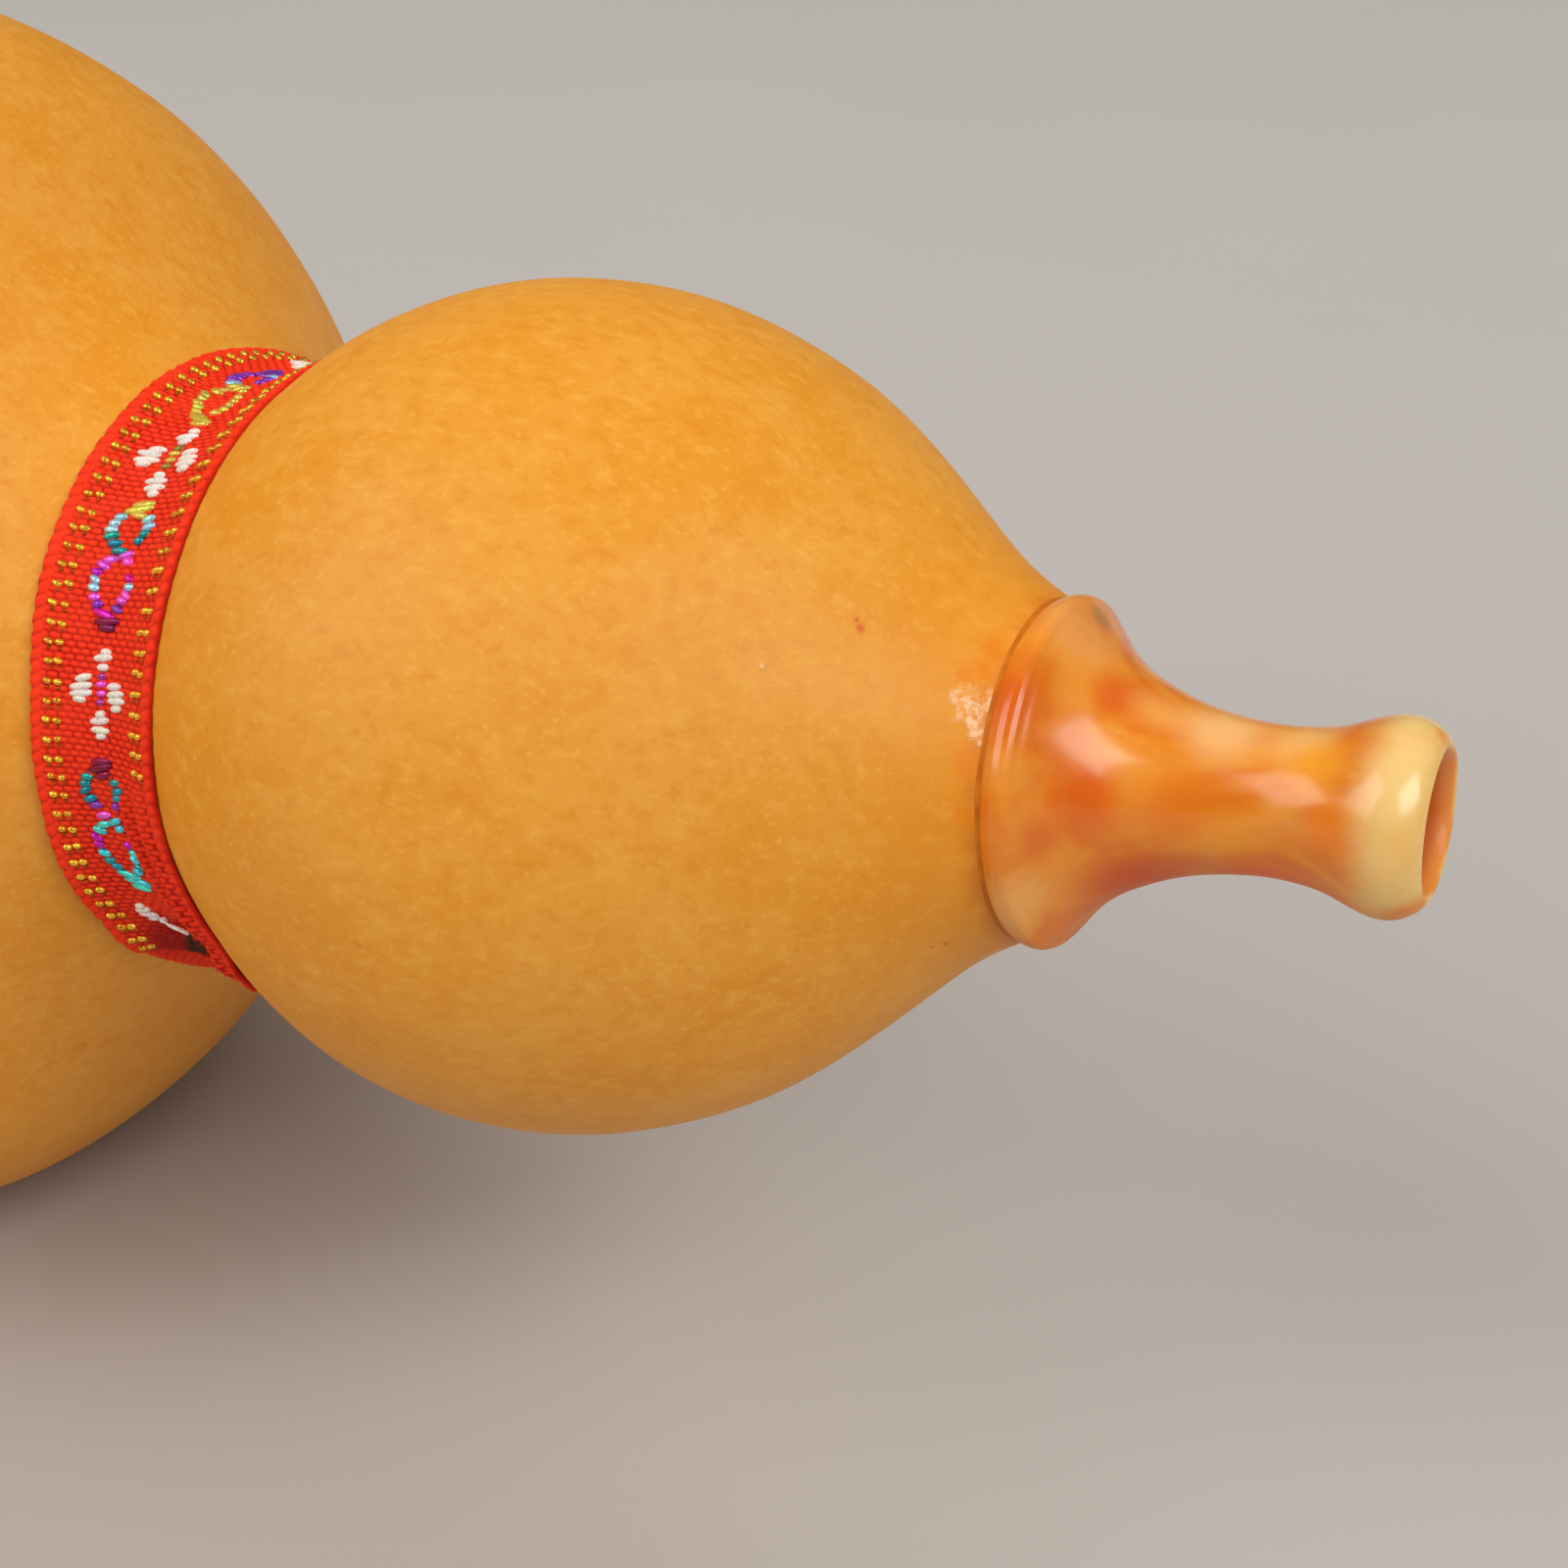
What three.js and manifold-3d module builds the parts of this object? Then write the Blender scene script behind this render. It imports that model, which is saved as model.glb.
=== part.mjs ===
// A hulusi (gourd free-reed pipe) lying on its lower bulb and on the foot of its playing pipe.
// Units are millimetres, +Z up. The instrument is drawn about its own long axis: s runs along
// the axis towards the mouthpiece, with s = 0 at the middle of the upper bulb, "up" is the side
// with the six finger holes, and "side" is the direction in which the three pipes stand in a row.
import * as THREE from "three";
import { mergeVertices } from "three/addons/utils/BufferGeometryUtils.js";
import Module from "manifold-3d";

const wasm = await Module();
wasm.setup();

// ---------------------------------------------------------------- driving dimensions
const SEG = 32; // facets round the large turned pieces
const SEG_PIPE = 20; // facets round pipes, sockets and everything that fits them
const GAP = 0.3; // clearance between touching pieces

// gourd: outer profile as [s, radius], from the cut at the bottom to the cut at the stem
const GOURD_OUT = [
  [-108.7, 31.6], [-104, 37.4], [-98.5, 42.7], [-91.5, 47.3], [-83, 50.3], [-75, 51.4], [-72, 51.4],
  [-64.5, 49.9], [-57, 46.5], [-50.5, 41.2], [-45, 35.0], [-40, 29.2], [-36, 25.4], [-32, 22.6],
  [-28.4, 21.5], [-25, 21.7], [-21, 23.0], [-17, 25.4], [-12, 27.7], [-6, 29.2], [-1, 29.5],
  [5, 28.8], [11, 26.9], [16.5, 24.0], [21.5, 20.1], [26, 16.1], [30.5, 12.4], [33.5, 10.8],
];
// gourd: inner profile, about 3.5 mm inside, thicker towards the stem
const GOURD_IN = [
  [-108.7, 27.0], [-104, 29.8], [-98, 38.0], [-88, 44.8], [-75, 47.8], [-63, 45.4], [-52, 38.2],
  [-42, 27.2], [-33, 19.0], [-25, 18.2], [-16, 22.4], [-2, 25.9], [12, 22.4], [21, 14.2],
  [24.2, 6.9], [33.5, 6.9],
];

// mouthpiece: flared flange against the gourd, waist, rounded lip; the spigot goes into the stem hole
const MP_S0 = 33.8; // back face of the flange
const MP_OUT = [ // [distance from the back face, radius]
  [0, 10.8], [0.5, 11.25], [1.3, 11.1], [2.5, 9.4], [5.2, 7.05], [8.5, 5.65], [12.0, 4.85],
  [15.8, 4.68], [18.5, 5.2], [20.6, 5.95], [22.2, 6.12], [23.4, 5.75], [24.1, 5.25], [24.5, 4.75],
];
const MP_BORE = 3.6, MP_MOUTH = 4.2, MP_MOUTH_DEPTH = 3.4;
const SPIGOT_R = 6.6, SPIGOT_L = 12.0;

// waist ribbon: woven band, 12 mm wide, as [s, outer radius]
const RIBBON = [[-31.8, 23.35], [-28.4, 22.7], [-24.6, 22.95], [-21.2, 24.05], [-20.2, 24.6]];
const RIBBON_T = 0.8;

// base cap that closes the lower bulb and holds the three pipes
const BASE_BACK = -109.0, BASE_FACE = -116.5, BASE_PLUG_TOP = -101.5;
const BASE_R = 32.6, BASE_PLUG_R = 26.7;

// pipes
const DRONE_Y = 18.0, DRONE_R = 6.7, DRONE_BORE = 4.0;
const MAIN_R = 8.75, MAIN_BORE = 4.6;
const REED_TUBE_R = 6.7, PIPE_TOP = -62.0, REED_TUBE_END = -104.6;
const SOCKET_R = 8.6, SOCKET_IN = 7.0, SOCKET_TOP = -98.0, SOCKET_COLLAR_R = 10.2, SOCKET_END = -120.6;
const TENON_R = 5.8, TENON_TOP = -105.4, WRAP_IN = 6.05, WRAP_OUT = 6.75;
const SHOULDER = -120.9, FOOT = -402.0;
const TOP_RING_L = 9.0, FOOT_RING_L = 13.0, RING_SEAT = 7.75;
const LEFT_END = -306.0, RIGHT_END = -351.0; // lower ends of the two drones
const FERRULE_L = 9.5, FERRULE_SEAT = 5.7, FERRULE_R = 8.1;

// finger holes: distance of each centre from the foot, and its radius
const FRONT_HOLES = [[62, 3.9], [84, 3.9], [105, 3.6], [133, 4.0], [155, 4.0], [177, 3.8]];
const THUMB_HOLE = [195, 3.7];
const VENT_HOLES = [[33, 2.9], [44, 2.7]];
const CORD_HOLE = [21, 1.5];

// reeds: flat on the tube's upper side, the window under it, the plate and its tongue
const FLAT_X = 5.45, FLAT_TOP = -66.0, FLAT_BOTTOM = -93.6;
const PLATE_L = 24.0, PLATE_W = 6.2, PLATE_T = 0.5, PLATE_MID = -79.8;
const TONGUE_T = 0.34, TONGUE_W0 = 3.2, TONGUE_W1 = 2.2;
const TONGUES = { main: 13.0, left: 14.2, right: 15.6 }; // tongue lengths: the lower the note, the longer

// ---------------------------------------------------------------- helpers
const MAT = (hex, roughness, metalness = 0) => new THREE.MeshStandardMaterial({ color: hex, roughness, metalness });
const gourdSkin = MAT(0xd9922e, 0.45), agate = MAT(0xe08a35, 0.15), bamboo = MAT(0x5c3420, 0.35), brass = MAT(0xc9a24a, 0.3, 1);
const wax = MAT(0x6b3a1a, 0.6), cork = MAT(0xb98a5a, 0.85), thread = MAT(0xe9e2d0, 0.8), ribbonRed = MAT(0xd9301c, 0.8), glue = MAT(0xd8a050, 0.2);

const bare = (g) => {
  const b = new THREE.BufferGeometry();
  b.setAttribute("position", g.getAttribute("position").clone());
  if (g.index) b.setIndex(g.index.clone());
  return mergeVertices(b, 1e-4);
};
const solid = (g) => {
  const b = bare(g);
  let tri = new Uint32Array(b.index.array);
  const made = new wasm.Manifold(new wasm.Mesh({ numProp: 3, vertProperties: new Float32Array(b.attributes.position.array), triVerts: tri }));
  if (made.volume() >= 0) return made;
  tri = tri.slice();
  for (let i = 0; i < tri.length; i += 3) [tri[i + 1], tri[i + 2]] = [tri[i + 2], tri[i + 1]];
  return new wasm.Manifold(new wasm.Mesh({ numProp: 3, vertProperties: new Float32Array(b.attributes.position.array), triVerts: tri }));
};
const geometry = (m) => {
  const mesh = m.getMesh(), n = mesh.numProp, v = new Float32Array(mesh.numVert * 3);
  for (let i = 0; i < mesh.numVert; i++) v.set(mesh.vertProperties.subarray(i * n, i * n + 3), i * 3);
  const g = new THREE.BufferGeometry();
  g.setAttribute("position", new THREE.BufferAttribute(v, 3));
  g.setIndex(new THREE.BufferAttribute(new Uint32Array(mesh.triVerts), 1));
  g.computeVertexNormals();
  return g;
};
// turned solid: profile is a list of [s, radius], where the radius is that of the flats; a ring
// profile is closed on itself. A flat, not an edge, faces down, so the pieces rest without rocking.
const turned = (profile, seg, ring = false) => {
  const pts = profile.map(([s, r]) => new THREE.Vector2(r / Math.cos(Math.PI / seg), s));
  if (ring) pts.push(pts[0].clone());
  const g = new THREE.LatheGeometry(pts, seg);
  g.rotateX(Math.PI / 2); // the lathe's own axis becomes +Z
  g.rotateZ(Math.PI / seg);
  return solid(g);
};
// tube between two stations with given outer and bore radius
const tube = (s0, s1, out, bore, seg) => turned([[s0, out], [s1, out], [s1, bore], [s0, bore]], seg, true);
const rod = (s0, s1, r, seg) => turned([[s0, 0], [s0, r], [s1, r], [s1, 0]], seg);
const box = (x0, x1, y0, y1, s0, s1) => {
  const g = new THREE.BoxGeometry(x1 - x0, y1 - y0, s1 - s0);
  g.translate((x0 + x1) / 2, (y0 + y1) / 2, (s0 + s1) / 2);
  return solid(g);
};
// a round cutter along the up direction
const drill = (s, r, x0, x1, y = 0, seg = 12) => {
  const g = new THREE.CylinderGeometry(r, r, x1 - x0, seg);
  g.rotateZ(Math.PI / 2);
  g.translate((x0 + x1) / 2, y, s);
  return solid(g);
};
const drillSide = (s, r, y0, y1, seg = 8) => {
  const g = new THREE.CylinderGeometry(r, r, y1 - y0, seg);
  g.translate(0, (y0 + y1) / 2, s);
  return solid(g);
};
// flat plate lying across "up", with a tapered outline: [s, half width] pairs along one side
const plate = (x0, t, outline, y = 0) => {
  const shape = new THREE.Shape();
  outline.forEach(([s, h], i) => (i ? shape.lineTo(s, h) : shape.moveTo(s, h)));
  [...outline].reverse().forEach(([s, h]) => shape.lineTo(s, -h));
  shape.closePath();
  const g = new THREE.ExtrudeGeometry(shape, { depth: t, bevelEnabled: false });
  // the shape's x is s and its y is the side direction; the extrusion runs along "up"
  const m = new THREE.Matrix4().makeBasis(new THREE.Vector3(0, 0, 1), new THREE.Vector3(0, 1, 0), new THREE.Vector3(-1, 0, 0));
  g.applyMatrix4(m);
  g.translate(x0 + t, y, 0);
  return solid(g);
};
const group = new THREE.Group();
const add = (name, m, material, y = 0) => {
  const mesh = new THREE.Mesh(geometry(m), material);
  mesh.name = name;
  mesh.position.y = y;
  group.add(mesh);
  return mesh;
};

// ---------------------------------------------------------------- gourd, mouthpiece, ribbon, base
add("gourd_shell", turned([...GOURD_OUT, ...[...GOURD_IN].reverse()], SEG, true), gourdSkin);

{
  const outer = MP_OUT.map(([d, r]) => [MP_S0 + d, r]);
  const tip = MP_S0 + MP_OUT[MP_OUT.length - 1][0];
  const profile = [
    ...outer,
    [tip, MP_MOUTH], [tip - MP_MOUTH_DEPTH, MP_BORE], [MP_S0 - SPIGOT_L, MP_BORE],
    [MP_S0 - SPIGOT_L, SPIGOT_R - 0.5], [MP_S0 - SPIGOT_L + 0.8, SPIGOT_R], [MP_S0, SPIGOT_R],
  ];
  add("mouthpiece", turned(profile, SEG_PIPE, true), agate);
}
// bead of glue that seals the flange to the gourd, seen as a glossy rim in the corner between them
add("mouthpiece_glue_bead", turned([[32.2, 11.95], [33.5, 11.15], [33.5, 11.6], [32.7, 12.0]], SEG_PIPE, true), glue);

add("waist_ribbon", turned([...RIBBON, ...[...RIBBON].reverse().map(([s, r]) => [s, r - RIBBON_T])], SEG, true), ribbonRed);

{
  const cap = turned([
    [BASE_PLUG_TOP, 0], [BASE_PLUG_TOP, BASE_PLUG_R - 0.8], [BASE_PLUG_TOP - 0.8, BASE_PLUG_R], [BASE_BACK, BASE_PLUG_R],
    [BASE_BACK, BASE_R - 0.4], [BASE_BACK - 0.6, BASE_R], [BASE_BACK - 2.6, BASE_R - 0.4], [BASE_BACK - 5.0, BASE_R - 2.6],
    [BASE_BACK - 6.8, BASE_R - 5.6], [BASE_FACE, BASE_R - 7.4], [BASE_FACE, 0],
  ], SEG)
    .subtract(rod(BASE_FACE - 2, BASE_PLUG_TOP + 2, SOCKET_R + GAP, SEG_PIPE));
  const bore = rod(BASE_FACE - 2, BASE_PLUG_TOP + 2, DRONE_R + GAP, SEG_PIPE);
  add("base_cap", cap.subtract(bore.translate([0, DRONE_Y, 0])).subtract(bore.translate([0, -DRONE_Y, 0])), agate);
}
// wax fillet between the gourd's inner edge and the base cap's plug
add("base_wax_seal", turned([[-101.2, 24.8], [-100.4, 24.8], [-102.6, 29.2], [-104.0, 29.2], [-104.0, 27.0], [-101.2, 27.0]], SEG, true), wax);

// ---------------------------------------------------------------- the three reed heads
// a tube with a flat and a window for the reed near its closed top
const reedHead = (body, tongue) => body
  .subtract(box(FLAT_X, 12, -8, 8, FLAT_BOTTOM, FLAT_TOP))
  .subtract(box(0, 12, -2.3, 2.3, PLATE_MID - tongue / 2 - 1.4, PLATE_MID + tongue / 2 + 1.4));
const reedSet = (name, tongue, y) => {
  const x = FLAT_X + GAP, tip = PLATE_MID - tongue / 2, root = PLATE_MID + tongue / 2;
  const slot = plate(x - 1, PLATE_T + 2, [[tip - 0.3, TONGUE_W1 / 2 + 0.3], [root + 0.3, TONGUE_W0 / 2 + 0.3]]);
  const blank = box(x, x + PLATE_T, -PLATE_W / 2, PLATE_W / 2, PLATE_MID - PLATE_L / 2, PLATE_MID + PLATE_L / 2);
  add(name + "_reed_plate", blank.subtract(slot), brass, y);
  add(name + "_reed_tongue", plate(x + (PLATE_T - TONGUE_T) / 2, TONGUE_T, [[tip, TONGUE_W1 / 2], [root, TONGUE_W0 / 2]]), brass, y);
  const wl = PLATE_L / 2 + GAP, ww = PLATE_W / 2 + 0.25;
  const frame = box(x, x + 0.9, -ww - 0.45, ww + 0.45, PLATE_MID - wl - 0.7, PLATE_MID + wl + 0.7)
    .subtract(box(x - 1, x + 2, -ww, ww, PLATE_MID - wl, PLATE_MID + wl));
  add(name + "_reed_wax", frame, wax, y);
};
const plug = (bore) => turned([
  [PIPE_TOP - 5.5, 0], [PIPE_TOP - 5.5, bore - GAP], [PIPE_TOP + GAP, bore - GAP], [PIPE_TOP + GAP, REED_TUBE_R - 0.4],
  [PIPE_TOP + 2.3, REED_TUBE_R - 1.6], [PIPE_TOP + 2.3, 0],
], SEG_PIPE);

add("main_socket", turned([
  [SOCKET_TOP, SOCKET_IN], [SOCKET_TOP, SOCKET_R], [BASE_FACE - GAP, SOCKET_R], [BASE_FACE - GAP, SOCKET_COLLAR_R - 0.6],
  [BASE_FACE - GAP - 0.8, SOCKET_COLLAR_R], [SOCKET_END + 0.6, SOCKET_COLLAR_R], [SOCKET_END, SOCKET_COLLAR_R - 0.6], [SOCKET_END, SOCKET_IN],
], SEG_PIPE, true), agate);
add("main_reed_tube", reedHead(tube(REED_TUBE_END, PIPE_TOP, REED_TUBE_R, MAIN_BORE, SEG_PIPE), TONGUES.main), bamboo);
add("main_reed_tube_plug", plug(MAIN_BORE), wax);
reedSet("main", TONGUES.main, 0);

// ---------------------------------------------------------------- playing pipe
{
  const wall = turned([
    [TENON_TOP, MAIN_BORE], [TENON_TOP, TENON_R], [SHOULDER, TENON_R], [SHOULDER, RING_SEAT],
    [SHOULDER - TOP_RING_L, RING_SEAT], [SHOULDER - TOP_RING_L, MAIN_R],
    [-196, MAIN_R], [-199, MAIN_R + 0.45], [-202, MAIN_R + 0.3], [-205, MAIN_R], // a joint of the bamboo
    [-372, MAIN_R], [-375, MAIN_R + 0.4], [-378, MAIN_R + 0.3], [-381, MAIN_R],
    [FOOT + FOOT_RING_L, MAIN_R], [FOOT + FOOT_RING_L, RING_SEAT], [FOOT, RING_SEAT], [FOOT, MAIN_BORE],
  ], SEG_PIPE, true);
  let pipe = wall;
  for (const [d, r] of FRONT_HOLES) pipe = pipe.subtract(drill(FOOT + d, r, 0, 12));
  for (const [d, r] of [THUMB_HOLE, ...VENT_HOLES]) pipe = pipe.subtract(drill(FOOT + d, r, -12, 0));
  pipe = pipe.subtract(drillSide(FOOT + CORD_HOLE[0], CORD_HOLE[1], -12, 12));
  add("playing_pipe", pipe, bamboo);
}
add("tenon_thread_wrap", turned([
  [TENON_TOP - 1.0, WRAP_IN], [TENON_TOP - 1.0, WRAP_OUT], [SHOULDER + 0.8, WRAP_OUT], [SHOULDER + 0.8, WRAP_IN],
], SEG_PIPE, true), thread);
add("playing_pipe_top_ring", turned([
  [SHOULDER, RING_SEAT + GAP], [SHOULDER, SOCKET_COLLAR_R - 0.6], [SHOULDER - 0.6, SOCKET_COLLAR_R], [SHOULDER - 3.6, SOCKET_COLLAR_R],
  [SHOULDER - TOP_RING_L + 1.2, MAIN_R + 0.75], [SHOULDER - TOP_RING_L + GAP, MAIN_R + 0.2], [SHOULDER - TOP_RING_L + GAP, RING_SEAT + GAP],
], SEG_PIPE, true), agate);
add("foot_ring", turned([
  [FOOT + FOOT_RING_L - GAP, RING_SEAT + GAP], [FOOT + FOOT_RING_L - GAP, MAIN_R + 0.2], [FOOT + FOOT_RING_L - 1.6, MAIN_R + 0.85], [FOOT + 5, MAIN_R + 1.1],
  [FOOT + 1.6, MAIN_R + 2.05], [FOOT - 0.4, MAIN_R + 2.05], [FOOT - 1.8, MAIN_R + 0.8],
  [FOOT - 1.8, MAIN_BORE + 0.4], [FOOT - GAP, MAIN_BORE + 0.4], [FOOT - GAP, RING_SEAT + GAP],
], SEG_PIPE, true), agate);

// ---------------------------------------------------------------- drones, one each side
for (const [side, y, end] of [["left", DRONE_Y, LEFT_END], ["right", -DRONE_Y, RIGHT_END]]) {
  const node = end + (side === "left" ? 78 : 104);
  const wall = turned([
    [PIPE_TOP, DRONE_BORE], [PIPE_TOP, DRONE_R],
    [node + 4, DRONE_R], [node + 1.4, DRONE_R + 0.4], [node - 1.4, DRONE_R + 0.28], [node - 4, DRONE_R],
    [end + FERRULE_L, DRONE_R], [end + FERRULE_L, FERRULE_SEAT], [end, FERRULE_SEAT], [end, DRONE_BORE],
  ], SEG_PIPE, true);
  add(side + "_drone_pipe", reedHead(wall, TONGUES[side]), bamboo, y);
  add(side + "_drone_top_plug", plug(DRONE_BORE), wax, y);
  reedSet(side, TONGUES[side], y);
  // wax fillet where the drone leaves the base cap
  add(side + "_drone_wax_seal", turned([[BASE_FACE - GAP, DRONE_R + GAP], [BASE_FACE - GAP, DRONE_R + 0.8], [BASE_FACE - 1.3, DRONE_R + GAP]], SEG_PIPE, true), wax, y);
  add(side + "_drone_ferrule", turned([
    [end + FERRULE_L - GAP, FERRULE_SEAT + GAP], [end + FERRULE_L - GAP, DRONE_R + 0.25], [end + FERRULE_L - 1.4, DRONE_R + 0.7], [end + 4, DRONE_R + 0.75],
    [end + 1.2, FERRULE_R], [end - 0.4, FERRULE_R], [end - 1.2, FERRULE_R - 0.9], [end - 1.2, DRONE_BORE + 0.1], [end - GAP, DRONE_BORE + 0.1], [end - GAP, FERRULE_SEAT + GAP],
  ], SEG_PIPE, true), agate, y);
  // stopper: pushed in it silences the drone, drawn out it lets it sound
  const face = end - 1.2 - GAP;
  add(side + "_stopper", turned([
    [end + 11, 0], [end + 11, 2.8], [face, 2.8], [face, 5.6], [face - 0.6, 6.1], [face - 1.8, 5.9], [face - 4.2, 4.2], [face - 7.0, 3.7],
    [face - 9.6, 4.5], [face - 11.6, 5.7], [face - 13.2, 5.7], [face - 14.8, 3.6], [face - 14.8, 0],
  ], SEG_PIPE), agate, y);
  add(side + "_stopper_cork", turned([[end + 9.4, 3.05], [end + 9.4, 3.75], [end + 1.2, 3.75], [end + 1.2, 3.05]], SEG_PIPE, true), cork, y);
}

// ---------------------------------------------------------------- lying pose
// The common tangent of the lower bulb and the foot ring is the table. The tilt is the angle
// of the long axis to it, found from the outlines of the two pieces that touch.
const touch = (() => {
  const pts = [];
  group.updateMatrixWorld(true);
  for (const name of ["gourd_shell", "foot_ring"]) {
    const p = group.getObjectByName(name).geometry.getAttribute("position");
    for (let i = 0; i < p.count; i++) pts.push([p.getZ(i), -p.getX(i)]); // [s, how far below the axis]
  }
  return pts;
})();
let tilt = 0;
for (let i = 0; i < 60; i++) { // turn until both pieces reach the same level
  const low = (from, to) => Math.max(...touch.filter(([s]) => s > from && s < to).map(([s, d]) => d * Math.cos(tilt) - s * Math.sin(tilt)));
  tilt += (low(-120, 40) - low(-420, -380)) / 330;
}

const axis = new THREE.Vector3(Math.cos(tilt), 0, Math.sin(tilt)); // towards the mouthpiece
const up = new THREE.Vector3(-Math.sin(tilt), 0, Math.cos(tilt));
const side = new THREE.Vector3().crossVectors(axis, up);
group.quaternion.setFromRotationMatrix(new THREE.Matrix4().makeBasis(up, side, axis));
group.updateMatrixWorld(true);
const bounds = new THREE.Box3().setFromObject(group, true);
group.position.set(-(bounds.min.x + bounds.max.x) / 2, -(bounds.min.y + bounds.max.y) / 2, -bounds.min.z);
group.updateMatrixWorld(true);

export default group;
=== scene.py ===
import math

import bpy
import numpy as np
from mathutils import Matrix, Vector


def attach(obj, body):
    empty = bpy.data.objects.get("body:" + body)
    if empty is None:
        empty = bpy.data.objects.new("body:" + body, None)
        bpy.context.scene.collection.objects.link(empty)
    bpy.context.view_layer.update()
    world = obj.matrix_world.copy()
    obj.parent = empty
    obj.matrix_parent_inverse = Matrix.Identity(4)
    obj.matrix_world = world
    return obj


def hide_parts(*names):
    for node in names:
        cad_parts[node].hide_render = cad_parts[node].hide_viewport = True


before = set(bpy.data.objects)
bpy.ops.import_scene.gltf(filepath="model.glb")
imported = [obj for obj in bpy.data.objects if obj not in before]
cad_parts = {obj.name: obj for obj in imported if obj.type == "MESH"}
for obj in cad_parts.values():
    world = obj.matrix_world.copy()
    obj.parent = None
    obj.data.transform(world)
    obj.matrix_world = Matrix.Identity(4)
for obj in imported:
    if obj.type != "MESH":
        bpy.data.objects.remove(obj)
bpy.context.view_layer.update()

# ------------------------------------------------------------------ the instrument's own frame
# x is "up" (the side with the six finger holes), y is the player's left, z is s, along the axis
# towards the mouthpiece, with s = 0 in the middle of the upper bulb. Lengths here are millimetres.
MM = 0.001
UP = Vector((-0.12306471343888248, 0.0, 0.9923986478760467))
SIDE = Vector((0.0, -1.0, 0.0))
AXIS = Vector((0.9923986478760467, 0.0, 0.12306471343888248))
ORIGIN = Vector((0.17173221606602613, 0.0, 0.060239145523025236))
LOCAL = Matrix((
    (UP.x, SIDE.x, AXIS.x, ORIGIN.x),
    (UP.y, SIDE.y, AXIS.y, ORIGIN.y),
    (UP.z, SIDE.z, AXIS.z, ORIGIN.z),
    (0, 0, 0, 1)))

GOURD_OUT = [
    (-108.7, 31.6), (-104, 37.4), (-98.5, 42.7), (-91.5, 47.3), (-83, 50.3), (-75, 51.4), (-72, 51.4),
    (-64.5, 49.9), (-57, 46.5), (-50.5, 41.2), (-45, 35.0), (-40, 29.2), (-36, 25.4), (-32, 22.6),
    (-28.4, 21.5), (-25, 21.7), (-21, 23.0), (-17, 25.4), (-12, 27.7), (-6, 29.2), (-1, 29.5),
    (5, 28.8), (11, 26.9), (16.5, 24.0), (21.5, 20.1), (26, 16.1), (30.5, 12.4), (33.5, 10.8)]
GOURD_IN = [
    (-108.7, 27.0), (-104, 29.8), (-98, 38.0), (-88, 44.8), (-75, 47.8), (-63, 45.4), (-52, 38.2),
    (-42, 27.2), (-33, 19.0), (-25, 18.2), (-16, 22.4), (-2, 25.9), (12, 22.4), (21, 14.2),
    (24.2, 6.9), (33.5, 6.9)]
MP_S0 = 33.8
BASE_BACK, BASE_FACE, BASE_PLUG_TOP = -109.0, -116.5, -101.5
DRONE_Y, DRONE_R, DRONE_BORE = 18.0, 6.7, 4.0
MAIN_R, MAIN_BORE = 8.75, 4.6
REED_TUBE_R, PIPE_TOP, REED_TUBE_END = 6.7, -62.0, -104.6
SOCKET_R, SOCKET_IN, SOCKET_TOP, SOCKET_COLLAR_R, SOCKET_END = 8.6, 7.0, -98.0, 10.2, -120.6
TENON_R, TENON_TOP, WRAP_IN, WRAP_OUT = 5.8, -105.4, 6.05, 6.75
SHOULDER, FOOT = -120.9, -402.0
TOP_RING_L, FOOT_RING_L, RING_SEAT = 9.0, 13.0, 7.75
LEFT_END, RIGHT_END = -306.0, -351.0
FERRULE_L, FERRULE_SEAT, FERRULE_R = 9.5, 5.7, 8.1
FRONT_HOLES = [(62, 3.9), (84, 3.9), (105, 3.6), (133, 4.0), (155, 4.0), (177, 3.8)]
THUMB_HOLE = (195, 3.7)
VENT_HOLES = [(33, 2.9), (44, 2.7)]
CORD_HOLE = (21, 1.5)
FLAT_X, FLAT_TOP, FLAT_BOTTOM = 5.45, -66.0, -93.6
PLATE_L, PLATE_W, PLATE_T, PLATE_MID = 24.0, 6.2, 0.5, -79.8
TONGUE_T, TONGUE_W0, TONGUE_W1 = 0.34, 3.2, 2.2
TONGUES = {"main": 13.0, "left": 14.2, "right": 15.6}
GAP = 0.3

# ------------------------------------------------------------------ outline helpers


def spline(points, step):
    """A natural cubic curve through the points, with a point about every step mm."""
    P = np.array(points, float)
    n = len(P)
    t = np.r_[0, np.cumsum(np.hypot(*np.diff(P, axis=0).T))]
    h = np.diff(t)
    A, B = np.zeros((n, n)), np.zeros((n, 2))
    A[0, 0] = A[-1, -1] = 1
    for i in range(1, n - 1):
        A[i, i - 1], A[i, i], A[i, i + 1] = h[i - 1], 2 * (h[i - 1] + h[i]), h[i]
        B[i] = 6 * ((P[i + 1] - P[i]) / h[i] - (P[i] - P[i - 1]) / h[i - 1])
    m = np.linalg.solve(A, B)
    q = np.linspace(0, t[-1], max(2, int(round(t[-1] / step)) + 1))
    k = np.clip(np.searchsorted(t, q, "right") - 1, 0, n - 2)
    hk = h[k][:, None]
    a, b = ((t[k + 1] - q) / h[k])[:, None], ((q - t[k]) / h[k])[:, None]
    return a * P[k] + b * P[k + 1] + ((a ** 3 - a) * m[k] + (b ** 3 - b) * m[k + 1]) * hk ** 2 / 6


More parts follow.
